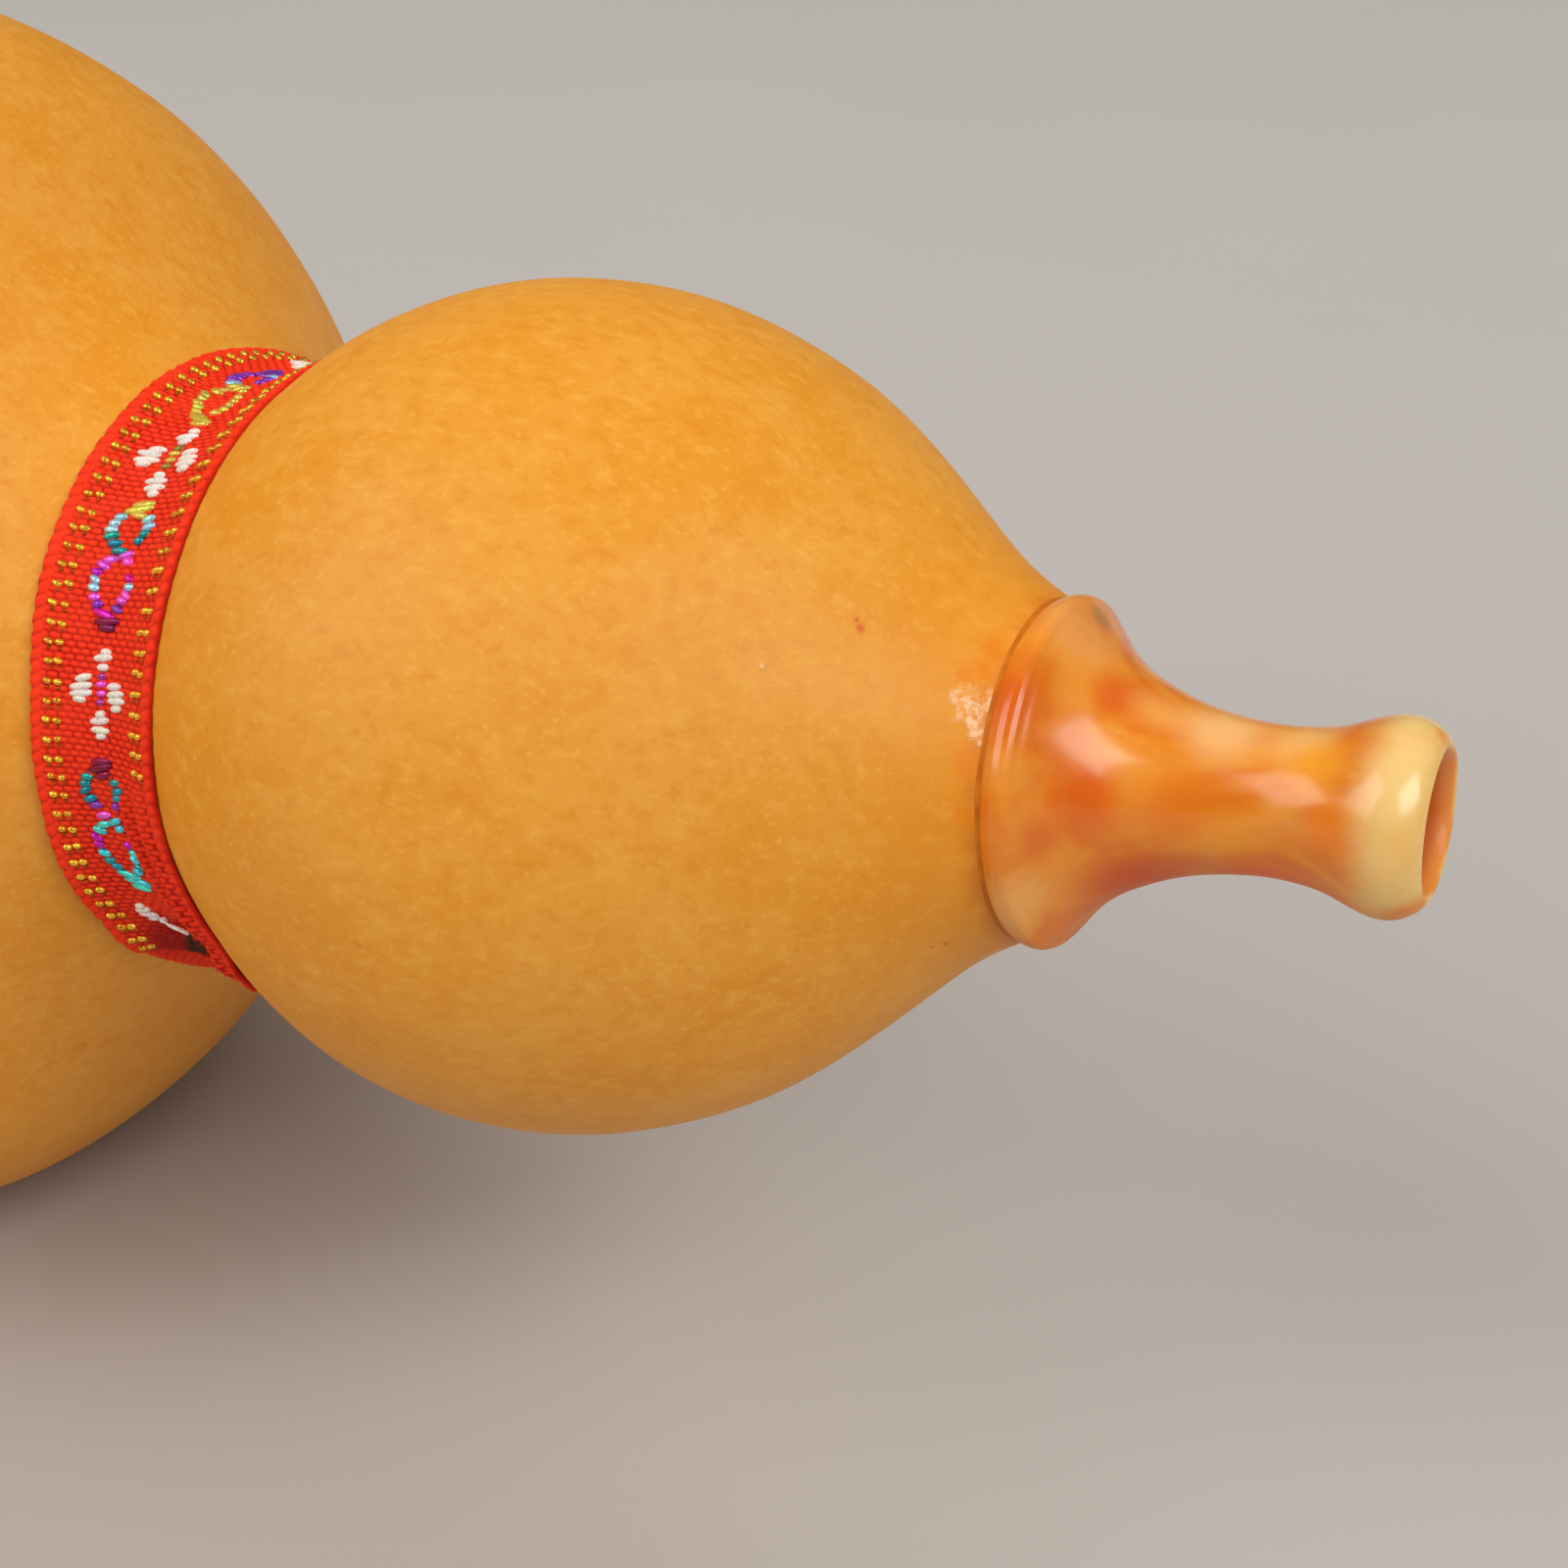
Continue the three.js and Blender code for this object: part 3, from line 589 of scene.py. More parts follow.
def bamboo_material(name, radius, joints=(), bore=4.6, seed=0.0, y=0.0):
    """Dark brown bamboo under lacquer; paler raw wood shows inside the bore, the holes and the cut ends."""
    n = Nodes(name, y)
    sh = (seed, seed * 2.1, seed * 3.7)
    co = n.mm(shift=sh)
    x, y, z = n.split(n.mm())
    rad = n.maths("SQRT", n.maths("ADD", n.maths("MULTIPLY", x, x), n.maths("MULTIPLY", y, y)))
    fibre = n.noise(n.mm(1, 1, 0.02, sh), 2.4, 4.0, 0.65)
    thread = n.noise(n.mm(1, 1, 0.008, sh), 7.0, 2.0, 0.6)
    cloud = n.noise(n.mm(1, 1, 0.16, sh), 0.14, 4.0, 0.6, 0.8)
    spots = n.noise(n.mm(1, 1, 0.28, sh), 0.55, 4.0, 0.65, 0.6)
    col = n.mix(n.between(cloud, 0.36, 0.66), (0.060, 0.017, 0.008), (0.155, 0.055, 0.021))
    col = n.mix(n.between(spots, 0.54, 0.68, 0, 0.75), col, (0.035, 0.010, 0.007))
    col = n.mix(n.between(spots, 0.42, 0.30, 0, 0.5), col, (0.215, 0.085, 0.030))
    col = n.mix(n.between(fibre, 0.52, 0.72, 0, 0.45), col, (0.230, 0.094, 0.036))
    col = n.mix(n.between(thread, 0.62, 0.75, 0, 0.35), col, (0.030, 0.010, 0.006))
    height = n.maths("ADD", n.maths("MULTIPLY", fibre, 0.6), n.maths("MULTIPLY", thread, 0.3))
    for s in joints:
        band = n.between(n.maths("ABSOLUTE", n.maths("SUBTRACT", z, s)), 0.25, 0.8, 1.0, 0.0)
        col = n.mix(n.maths("MULTIPLY", band, 0.8), col, (0.022, 0.008, 0.005))
        halo = n.between(n.maths("ABSOLUTE", n.maths("SUBTRACT", z, s + 1.6)), 0.3, 1.3, 1.0, 0.0)
        col = n.mix(n.maths("MULTIPLY", halo, 0.45), col, (0.285, 0.130, 0.055))
    raw = n.between(rad, radius - 0.75, radius - 0.3, 1.0, 0.0)
    vessels = n.voronoi(n.mm(1, 1, 0.05, sh), 1.5)
    wood = n.mix(n.between(fibre, 0.35, 0.7), (0.330, 0.170, 0.070), (0.520, 0.315, 0.150))
    wood = n.mix(n.between(vessels, 0.06, 0.2, 0.55, 0.0), wood, (0.150, 0.065, 0.025))
    deep = n.between(rad, bore - 0.2, bore + 0.25, 1.0, 0.0)
    wood = n.mix(n.maths("MULTIPLY", deep, 0.45), wood, (0.230, 0.110, 0.045))
    col = n.mix(raw, col, wood)
    rough = n.maths("ADD", n.between(cloud, 0.3, 0.7, 0.22, 0.32, False), n.maths("MULTIPLY", raw, 0.35))
    return n.surface(Base_Color=col, Roughness=rough, Normal=n.bump(height, 0.05), IOR=1.5, Coat_Weight=0.45,
                     Coat_Roughness=0.12, Coat_IOR=1.5)


def brass_material(name="reed_brass", seed=0.0):
    n = Nodes(name)
    co = n.mm(shift=(seed, 0, seed))
    file_lines = n.noise(n.mm(1, 4.0, 0.12), 3.0, 3.0, 0.6)
    cloud = n.noise(co, 0.5, 3.0)
    col = n.mix(n.between(cloud, 0.35, 0.7), (0.700, 0.470, 0.170), (0.560, 0.330, 0.100))
    rough = n.between(file_lines, 0.3, 0.7, 0.22, 0.42, False)
    return n.surface(Base_Color=col, Metallic=1.0, Roughness=rough, Normal=n.bump(file_lines, 0.02))


def wax_material():
    n = Nodes("brown_wax")
    co = n.mm()
    lumps = n.noise(co, 0.8, 4.0, 0.6)
    specks = n.noise(co, 3.5, 2.0)
    col = n.mix(n.between(lumps, 0.35, 0.68), (0.105, 0.038, 0.014), (0.215, 0.090, 0.034))
    col = n.mix(n.between(specks, 0.6, 0.75, 0, 0.5), col, (0.34, 0.18, 0.08))
    return n.surface(Base_Color=col, Roughness=n.between(lumps, 0.3, 0.7, 0.38, 0.6, False), Normal=n.bump(lumps, 0.12),
                     Subsurface_Weight=0.12, Subsurface_Radius=(1.0, 0.5, 0.25), Subsurface_Scale=0.0008)


def cork_material():
    n = Nodes("sanded_cork")
    co = n.mm()
    cells = n.voronoi(co, 1.1)
    grains = n.noise(co, 1.0, 4.0, 0.65)
    pores = n.between(n.noise(n.mm(1, 1, 1.6), 2.2, 2.0), 0.63, 0.70)
    col = n.mix(n.between(grains, 0.35, 0.68), (0.420, 0.225, 0.100), (0.600, 0.380, 0.200))
    col = n.mix(n.between(cells, 0.25, 0.5, 0, 0.35), col, (0.300, 0.140, 0.055))
    col = n.mix(n.maths("MULTIPLY", pores, 0.85), col, (0.085, 0.035, 0.014))
    height = n.maths("SUBTRACT", n.maths("MULTIPLY", grains, 0.5), pores)
    return n.surface(Base_Color=col, Roughness=0.86, Normal=n.bump(height, 0.10))


def thread_material():
    n = Nodes("waxed_thread")
    co = n.mm()
    tone = n.noise(n.mm(1, 1, 2.0), 0.6, 3.0)
    fuzz = n.noise(n.mm(2, 2, 6.0), 3.0, 2.0)
    col = n.mix(n.between(tone, 0.35, 0.7), (0.760, 0.700, 0.560), (0.600, 0.520, 0.370))
    return n.surface(Base_Color=col, Roughness=0.62, Normal=n.bump(fuzz, 0.05), Sheen_Weight=0.2, Sheen_Roughness=0.5)


def glue_material():
    n = Nodes("clear_glue")
    tone = n.noise(n.mm(), 0.7, 3.0)
    col = n.mix(n.between(tone, 0.35, 0.65), (0.500, 0.120, 0.005), (0.600, 0.170, 0.010))
    return n.surface(Base_Color=col, Roughness=n.between(tone, 0.3, 0.7, 0.42, 0.56, False), Normal=n.bump(tone, 0.06), IOR=1.42,
                     Specular_IOR_Level=0.2)


def ribbon_material():
    n = Nodes("ribbon_weave")
    low = n.add("ShaderNodeAttribute", attribute_name="relief", out=2)
    tone = n.noise(n.mm(), 0.35, 3.0)
    fuzz = n.noise(n.mm(1, 1, 1), 9.0, 2.0)
    # painted shade: the weave's gaps, the cords and the rolled edges are darkened from the mesh's shade values
    col = n.mix(n.between(low, 0.05, 0.80), (0.380, 0.002, 0.001), (0.960, 0.042, 0.011))
    col = n.mix(n.between(tone, 0.35, 0.7, 0, 0.30), col, (0.970, 0.060, 0.016))
    col = n.mix(n.between(fuzz, 0.62, 0.8, 0, 0.25), col, (0.95, 0.16, 0.05))
    # painted shade: a broad dark red patch near the cut end, where the ribbon falls away into shade; the black spots
    # are scorch where the end was sealed with a flame
    field = n.warped(0.9, 0.25)
    shade = n.blob(at(-25.9, 123.5, 23.0), 4.4, 0.65, field)
    col = n.mix(n.maths("MULTIPLY", shade, 0.78), col, (0.240, 0.001, 0.002))
    for centre in (at(-23.5, 120.2, 23.3), at(-24.4, 122.8, 23.1), at(-25.2, 126.5, 23.0)):
        burn = n.blob(centre, 1.30, 0.45, field)
        col = n.mix(n.maths("MULTIPLY", burn, 0.93), col, (0.030, 0.020, 0.009))
    return n.surface(Base_Color=col, Roughness=0.66, Normal=n.bump(fuzz, 0.035), IOR=1.2, Sheen_Weight=0.03, Sheen_Roughness=0.45,
                     Sheen_Tint=(1.0, 0.30, 0.12))


def stitch_material(name, metallic, roughness):
    """Thread whose colour is on the mesh, with its fine twist in the nodes."""
    n = Nodes(name)
    hue = n.add("ShaderNodeAttribute", attribute_name="thread", out=0)
    twist = n.noise(n.mm(1, 1, 1), 6.0, 2.0)
    dark = n.mix(0.45, hue, (0.05, 0.03, 0.01))
    col = n.mix(n.between(twist, 0.28, 0.52), dark, hue)
    return n.surface(Base_Color=col, Metallic=metallic, Roughness=roughness, Normal=n.bump(twist, 0.05))


MAT_GOURD = gourd_material()
MAT_MOUTH = agate_material("agate_resin_mouthpiece", 0.0, True)
MAT_AGATE = agate_material("agate_resin", 3.0)
MAT_WAX, MAT_CORK, MAT_THREAD, MAT_GLUE, MAT_BRASS = wax_material(), cork_material(), thread_material(), glue_material(), brass_material()

# ------------------------------------------------------------------ camera
TAU = math.radians(7.0690)
E = math.radians(30.0742468743114)
PHI = math.radians(62.01006106105333)
right = Vector((math.sin(PHI), math.cos(PHI), 0))
top = Vector((-math.sin(E) * math.cos(PHI), math.sin(E) * math.sin(PHI), math.cos(E)))
back = Vector((math.cos(E) * math.cos(PHI), -math.cos(E) * math.sin(PHI), math.sin(E)))
camera = bpy.data.objects.new("camera", bpy.data.cameras.new("camera"))
bpy.context.scene.collection.objects.link(camera)
camera.data.lens, camera.data.sensor_width = 54.0, 36.0
camera.data.clip_start, camera.data.clip_end = 0.01, 20.0
spot = Vector((0.25072339503794228, -0.12200717599804582, 0.13820470227322477))
camera.matrix_world = Matrix((
    (right.x, top.x, back.x, spot.x),
    (right.y, top.y, back.y, spot.y),
    (right.z, top.z, back.z, spot.z),
    (0, 0, 0, 1)))
bpy.context.scene.camera = camera

# ------------------------------------------------------------------ gourd
outer = eased(spline(GOURD_OUT, 0.25), 2.2, 0.25)
outer = outer[::4] if (len(outer) - 1) % 4 == 0 else np.vstack([outer[::4], outer[-1:]])
inner = spline(GOURD_IN[:-2], 2.5)
section = [tuple(p) for p in outer[::-1]] + [(-108.7, 31.3)]
section = ([(33.5, 6.9)] + [(33.5, 10.5)] + [tuple(p) for p in outer[::-1][0:]] +
           [(-108.85, 31.2), (-108.85, 27.2)] + [tuple(p) for p in inner] + [(24.2, 6.9)])


def gourd_shape(V):
    r = np.hypot(V[:, 0], V[:, 1])
    th = np.arctan2(V[:, 1], V[:, 0])
    s = V[:, 2]
    # the fruit isn't perfectly round: a lobe or two, hardly felt, and long shallow dents
    d = 0.16 * np.cos(2 * th + 0.8) * np.exp(-((s + 70) / 26) ** 2) + 0.10 * np.cos(3 * th - 0.5 + s * 0.02)
    d += 0.05 * np.cos(5 * th + 1.3 + s * 0.06) + waves(V, 11, 17.0, 0.05, 2)
    d -= 0.36 * np.exp(-((s + 73) / 30) ** 2)
    d *= smoothstep(33.4, 27, s) * smoothstep(-108.8, -103, s)
    d *= 1 - 0.75 * np.exp(-((s + 26) / 7) ** 2)
    V = V.copy()
    V[:, :2] *= ((r + d) / np.maximum(r, 1e-6))[:, None]
    return V


gourd = new_object("gourd_skin", *turned(section, 192, True, gourd_shape))
dress(gourd, "gourd", "gourd", MAT_GOURD, "gourd_shell")

# ------------------------------------------------------------------ mouthpiece
FLANGE = rounded([(-0.46, 10.2), (-0.46, 10.80), (-0.14, 11.03), (0.34, 11.24), (0.8, 11.3), (1.15, 11.18), (1.42, 10.92), (1.55, 10.68)], 0.2, 3, False)
BODY = spline([(1.55, 10.68), (1.75, 10.50), (2.05, 10.12), (2.6, 9.42), (3.8, 8.18), (5.2, 7.12), (7.0, 6.22), (8.8, 5.55), (10.8, 5.05), (12.6, 4.78),
               (14.6, 4.66), (16.4, 4.78), (18.2, 5.13), (19.8, 5.70), (21.0, 6.05), (22.0, 6.16), (22.9, 6.02), (23.7, 5.62), (24.25, 5.10),
               (24.42, 4.78)], 0.30)
mouth = [(MP_S0 + d, r) for d, r in FLANGE] + [(MP_S0 + d, r) for d, r in BODY[1:]]
tip = MP_S0 + 24.5
mouth += [(tip - 0.02, 4.66), (tip - 0.07, 4.54), (tip - 0.20, 4.40), (tip - 0.42, 4.26), (tip - 0.72, 4.12), (tip - 1.05, 4.03), (tip - 1.9, 3.90),
          (tip - 3.4, 3.6),
          (MP_S0 - 11.9, 3.6), (MP_S0 - 12.0, 3.8), (MP_S0 - 12.0, 6.0), (MP_S0 - 11.8, 6.2), (MP_S0 - 11.2, 6.55), (MP_S0 - 10.9, 6.6),
          (MP_S0 - 0.1, 6.6), (MP_S0, 6.8)]


def mouth_shape(V):
    """Slightly uneven, with the end filed a little askew: shorter low on the far side."""
    V = uneven(5, 14.0, 0.035)(V)
    V = V.copy()
    d = math.cos(math.radians(222)) * V[:, 0] + math.sin(math.radians(222)) * V[:, 1]
    V[:, 2] -= 0.060 * np.maximum(d + 4.6, 0) * smoothstep(51.5, 57.5, V[:, 2])
    return V


piece = new_object("mouthpiece_body", *turned(mouth, 144, True, mouth_shape), sharp=50)
dress(piece, "gourd", "agate_resin", MAT_MOUTH, "mouthpiece")


# glue bead: an uneven squeezed-out rim in the corner between flange and gourd
def bead_shape(V):
    th = np.arctan2(V[:, 1], V[:, 0])
    r = np.hypot(V[:, 0], V[:, 1])
    swell = 1 + 0.14 * np.sin(3 * th + 0.4) * np.sin(5 * th) + 0.10 * np.cos(9 * th + 1) + 0.04 * np.sin(17 * th)
    s2 = 33.52 + (V[:, 2] - 33.52) * (0.55 + 0.45 * swell)
    skin = np.interp(s2, outer[:, 0], outer[:, 1])
    V = V.copy()
    V[:, :2] *= ((skin + (r - 20.0) * (0.6 + 0.4 * swell)) / r)[:, None]
    V[:, 2] = s2
    return V


# (station, height above the gourd + 20)
bead = [(33.54, 19.85), (33.54, 20.08), (33.48, 20.12), (33.38, 20.09), (33.28, 20.05), (33.20, 20.01), (33.14, 19.96), (33.25, 19.85)]
piece = new_object("glue_bead", *turned(bead, 180, True, bead_shape), sharp=None)
dress(piece, "gourd", "glue", MAT_GLUE, "mouthpiece_glue_bead")

# ------------------------------------------------------------------ waist ribbon
RIB = spline([(-33.4, 23.80), (-31.8, 23.22), (-30.3, 22.76), (-28.4, 22.45), (-26.5, 22.42), (-24.6, 22.58), (-22.8, 22.94), (-21.2, 23.46),
              (-20.2, 23.94), (-19.2, 24.52), (-18.2, 25.17)], 0.05)
RIB_A = np.r_[0, np.cumsum(np.hypot(*np.diff(RIB, axis=0).T))]
RIB_T = np.gradient(RIB, axis=0)
RIB_T /= np.linalg.norm(RIB_T, axis=1)[:, None]
RIB_START = float(np.interp(-31.8, RIB[:, 0], RIB_A))
WIDTH = 12.3
ROWS = 324  # weft rows round the waist
ROW = 2 * math.pi * 22.9 / ROWS
SEAM = 127.0  # where the ribbon's outer end lies


# how far each edge has slipped along the ribbon's outline, and how far the edge by the lower bulb
# stands off, in mm, at angles in degrees
LEFT_SLIP = [(-180, 0.10), (-140, 0.0), (-90, -0.10), (-40, -0.10), (-4, -0.15), (10, -0.10), (25, 0.0), (45, 0.18), (55, 0.22), (64, 0.55),
             (72, 0.60), (82, 0.50), (90, 0.40), (97, 0.27), (104, 0.16), (111, 0.20), (117, 0.42), (124, 0.46), (131, 0.42), (138, 0.60), (152, 0.35),
             (180, 0.10)]
RIGHT_SLIP = [(-180, 0.10), (-140, 0.0), (-90, -0.10), (-40, 0.0), (-10, 0.05), (0, 0.10), (10, 0.35), (30, 0.50), (45, 0.78), (55, 0.72), (66, 0.32),
              (76, 0.0), (84, -0.30), (92, -0.55), (100, -0.50), (109, 0.05), (119, 0.95), (127, 1.15), (137, 0.85), (150, 0.42), (165, 0.20), (180, 0.10)]
LEFT_FLARE = [(-180, 0.25), (-90, 0.20), (-40, 0.30), (-4, 0.60), (6, 0.60), (20, 0.35), (35, 0.15), (55, 0.05), (70, 0.10), (82, 0.30), (93, 0.50),
              (104, 0.74), (111, 0.76), (117, 0.66), (124, 0.60), (130, 0.50), (137, 0.26), (145, 0.12), (165, 0.12), (180, 0.25)]


def along(table, theta):
    t = (np.asarray(theta, float) + 180) % 360 - 180
    grid = np.arange(-180.0, 181.0, 3.0)
    line = np.interp(grid, *zip(*table))
    line[1:-1] = 0.25 * line[:-2] + 0.5 * line[1:-1] + 0.25 * line[2:]
    return np.interp(t, grid, line)


def lift(theta):
    """The outer end of the ribbon lies over its inner end just before the seam."""
    t = (np.asarray(theta, float) - (SEAM - 11)) % 360
    return np.where(t < 11, 0.42 * smoothstep(0, 6, t), 0.0)


def on_ribbon(u, theta, h):
    """Points on the ribbon: u across it from its edge by the lower bulb, theta round it, h above its face."""
    u, theta, h = np.broadcast_arrays(np.asarray(u, float), np.asarray(theta, float), np.asarray(h, float))
    k = np.clip(u / WIDTH, 0, 1)
    a = RIB_START + u + (1 - k) * along(LEFT_SLIP, theta) + k * along(RIGHT_SLIP, theta)
    s, r = np.interp(a, RIB_A, RIB[:, 0]), np.interp(a, RIB_A, RIB[:, 1])
    ts, tr = np.interp(a, RIB_A, RIB_T[:, 0]), np.interp(a, RIB_A, RIB_T[:, 1])
    hh = h + lift(theta) + along(LEFT_FLARE, theta) * smoothstep(6.5, 0.0, u)
    s, r = s - tr * hh, r + ts * hh
    t = np.radians(theta)
    return np.stack([r * np.cos(t), r * np.sin(t), s], -1)


def folds(u, theta):
    """Creases where the edge by the upper bulb is pushed together, low on the player's left."""
    t = (np.asarray(theta, float) + 180) % 360 - 180
    much = smoothstep(78, 94, t) * smoothstep(133, 120, t)
    mid = 10.15 + 0.25 * np.sin(t * 0.13) + 0.25 * smoothstep(106, 114, t)
    high = 0.34 + 0.32 * smoothstep(98, 112, t)
    ridge = high * np.exp(-((u - mid) / 0.56) ** 2) * (0.82 + 0.18 * np.sin(t * 0.41 + 1)) + 0.22 * np.exp(-((u - mid + 2.1) / 0.42) ** 2)
    pleats = 0.10 * smoothstep(112, 117, t) * np.sin(u * 4.1 + 0.35 * np.sin(t * 0.5)) * smoothstep(4.4, 5.6, u) * smoothstep(9.4, 8.4, u)
    return much * (ridge + pleats - 0.24 * np.exp(-((u - mid + 1.25) / 0.50) ** 2) - 0.16 * np.exp(-((u - mid - 1.05) / 0.40) ** 2))


def weave(u, v):
    """Height of the weave in mm and how deep in it a point lies (0 in a gap, 1 on a thread), which paints shade into
    the gaps.
    """
    a = 0.9
    j = np.floor(v / ROW)
    x = (u - 0.5 * a * (j % 2)) / a
    x = x - np.round(x)
    y = v / ROW - j - 0.5
    grain = np.clip(np.cos(np.pi * x), 0, 1) ** 0.55 * np.clip(np.cos(np.pi * y), 0, 1) ** 0.75
    side = np.minimum(u, WIDTH - u)
    # the selvedge: slanting cords, one to every two rows
    cord = np.abs(np.cos(np.pi * (v / (2 * ROW) + np.sign(WIDTH / 2 - u) * side / 2.4))) ** 0.7
    body = smoothstep(0.75, 1.05, side)
    roll = 0.07 * np.exp(-((side - 0.5) / 0.35) ** 2)
    h = body * 0.17 * grain + (1 - body) * (0.12 * cord) + roll
    deep = body * grain + (1 - body) * (0.25 + 0.75 * cord)
    return h, deep


def ribbon_mesh():
    nv = ROWS * 4
    theta = 360.0 * (np.arange(nv) + 0.5) / nv + SEAM
    v = np.radians(theta) * 22.9
    us = np.r_[0.10, 0.22, np.linspace(0.36, WIDTH - 0.36, 62), WIDTH - 0.22, WIDTH - 0.10]
    rows, gap_shades = [], []
    notch = 0.16 * np.abs(np.sin(np.pi * v / (3 * ROW))) ** 0.7 - 0.06 + 0.02 * np.sin(v * 0.9)
    for u in us:
        h, deep = weave(np.full(nv, u), v)
        h = h + folds(u, theta)
        edge = smoothstep(0.5, 0.0, min(u, WIDTH - u))
        sign = -1 if u < WIDTH / 2 else 1
        rows.append(on_ribbon(u + sign * notch * smoothstep(1.6, 0.1, min(u, WIDTH - u)), theta, h - 0.12 * edge))
        # painted shade: the shade values are lowered towards the rolled edges
        gap_shades.append(deep * (1 - 0.25 * edge))
    for u, h in ((WIDTH + 0.02, -0.20), (WIDTH - 0.02, -0.36), (WIDTH - 0.4, -0.46), (WIDTH * 0.75, -0.46), (WIDTH * 0.5, -0.46),
                 (WIDTH * 0.25, -0.46), (0.4, -0.46), (0.02, -0.36), (-0.02, -0.20)):
        sign = -1 if u < WIDTH / 2 else 1
        rows.append(on_ribbon(u + (sign * notch if not 1 < u < WIDTH - 1 else 0), theta, np.full(nv, h)))
        gap_shades.append(np.full(nv, 0.35))
    V = np.vstack(rows)
    n = len(rows)
    k = np.arange(nv)
    F = []
    for i in range(n):
        a, b = i * nv, ((i + 1) % n) * nv
        j = (k + 1) % nv
        F += np.stack([a + k, a + j, b + j, b + k], 1).tolist()
    return V, F, np.concatenate(gap_shades)


V, F, gap_shades = ribbon_mesh()
ribbon = new_object("ribbon_band", V, F, sharp=None)
ribbon.data.attributes.new("relief", "FLOAT", "POINT").data.foreach_set("value", gap_shades.astype(np.float32))
dress(ribbon, "gourd", "ribbon", ribbon_material(), "waist_ribbon")

# one stitch: a little pad of thread, long across the ribbon
SU = np.array([(-1, 0, 0)] + [(math.cos(p) * -1, math.sin(p) * math.cos(q), math.sin(p) * math.sin(q))
              for p in np.linspace(0, math.pi, 7)[1:-1] for q in np.linspace(0, 2 * math.pi, 8, endpoint=False)] + [(1, 0, 0)])
SU[:, 0] = np.sign(SU[:, 0]) * np.abs(SU[:, 0]) ** 0.8


def stitch_faces():
    F = []
    for k in range(8):
        j = (k + 1) % 8
        F.append((0, 1 + j, 1 + k))
        for i in range(4):
            a, b = 1 + i * 8, 1 + (i + 1) * 8
            F.append((a + k, a + j, b + j, b + k))
        F.append((33 + k, 33 + j, 41))
    return F


STITCH_F = stitch_faces()


def stitches(name, rows, material, slot):
    """rows are (u, v in mm along the ribbon, length across, width, height, lean, colour)."""
    V, F, C = [], [], []
    for u, v, long, wide, high, lean, colour in rows:
        q = SU * (long / 2, wide / 2, high)
        uu = u + q[:, 0]
        vv = v + q[:, 1] + lean * q[:, 0]
        F += [tuple(len(V) * 42 + i for i in f) for f in STITCH_F]
        V.append(on_ribbon(uu, np.degrees(vv / 22.9), q[:, 2] + 0.10))
        C += [(*colour, 1.0)] * 42
    ob = new_object(name, np.vstack(V), F, sharp=None)
    ob.data.attributes.new("thread", "FLOAT_COLOR", "POINT").data.foreach_set("color", np.array(C, np.float32).ravel())
    return dress(ob, "gourd", slot, material)


rng = np.random.default_rng(42)
GOLD, OCHRE, DOT_SHADE = (1.0, 0.62, 0.05), (0.84, 0.42, 0.03), (0.42, 0.11, 0.006)
rows = []
for k in range(ROWS // 3):
    v = (3 * k + 1.5) * ROW
    for u, lean in ((1.38, 0.14), (2.26, 0.10), (WIDTH - 2.16, -0.10), (WIDTH - 1.28, -0.14)):
        du, dv = rng.normal(0, 0.045, 2)
        if (u > 8 and 84 < math.degrees(v / 22.9) % 360 < 128) or (u < 4 and 126.5 < math.degrees(v / 22.9) % 360 < 150):
            continue  # these lie inside the folds
        tone = GOLD if rng.random() > 0.25 else OCHRE
        rows.append((u + du, v + dv, 0.74 + rng.normal(0, 0.05), 0.50, 0.27, lean + rng.normal(0, 0.08), tone))
        # painted shade: a low dark sliver beside each gold dot
        rows.append((u + 0.08 + du, v + 0.62 * ROW * 1.5 + dv, 0.50, 0.18, 0.12, lean, DOT_SHADE))
gold = stitches("gold_stitches", rows, stitch_material("gold_thread", 0.70, 0.26), "metallic_thread")

# figures between the gold rows: four-petalled flowers in white, and scrolls in thread that changes colour
WHITE = (0.90, 0.84, 0.76)
FLOWER = [(0.2, -3.05, 1.0), (0.0, -2.50, 1.9), (0.1, -1.95, 1.1),
          (-1.75, -1.0, 1.5), (-2.0, -0.48, 2.1), (-1.95, 0.04, 2.2), (-2.0, 0.5, 1.2),
          (1.45, -0.72, 1.5), (1.65, -0.22, 1.9), (1.75, 0.3, 2.0), (1.8, 0.78, 1.1),
          (0.0, 1.35, 1.0), (0.0, 1.90, 2.0), (0.1, 2.45, 1.9), (0.2, 2.95, 1.0)]
PINCHED = [(-1.9, -0.95, 0.8), (-1.85, -0.50, 1.4), (-1.7, -0.05, 1.6), (-1.5, 0.40, 1.1), (-0.9, 0.62, 0.7)]
HEART = [(0.05, -1.25, 1.0), (0.0, -0.72, 1.1), (0.05, -0.1, 1.0), (0.0, 0.5, 0.9)]
SCROLL = [(0.2, -4.9, 1.9), (0.1, -4.45, 2.3), (0.3, -4.0, 1.5),
          (-1.25, -3.75, 1.0), (-1.5, -3.25, 0.9), (-1.55, -2.75, 1.0), (-1.35, -2.2, 1.2), (-0.9, -1.7, 1.2),
          (1.5, -3.65, 1.0), (1.65, -3.1, 1.1), (1.5, -2.5, 0.9), (1.15, -2.0, 0.8),
          (-0.35, -1.15, 1.3), (0.5, -0.75, 1.3), (-0.7, -0.4, 1.3), (0.9, -0.25, 0.9), (-1.2, 0.1, 1.1),
          (-1.6, 0.7, 0.9), (-1.65, 1.3, 0.8), (-1.6, 1.9, 0.9), (-1.35, 2.5, 0.9), (-0.95, 3.0, 0.9),
          (1.35, 0.9, 0.8), (1.5, 1.5, 0.8), (1.45, 2.1, 0.8), (1.3, 2.7, 0.9), (0.9, 3.2, 1.0),
          (-0.2, 3.65, 1.9), (0.2, 4.15, 2.3), (0.3, 4.65, 1.7)]
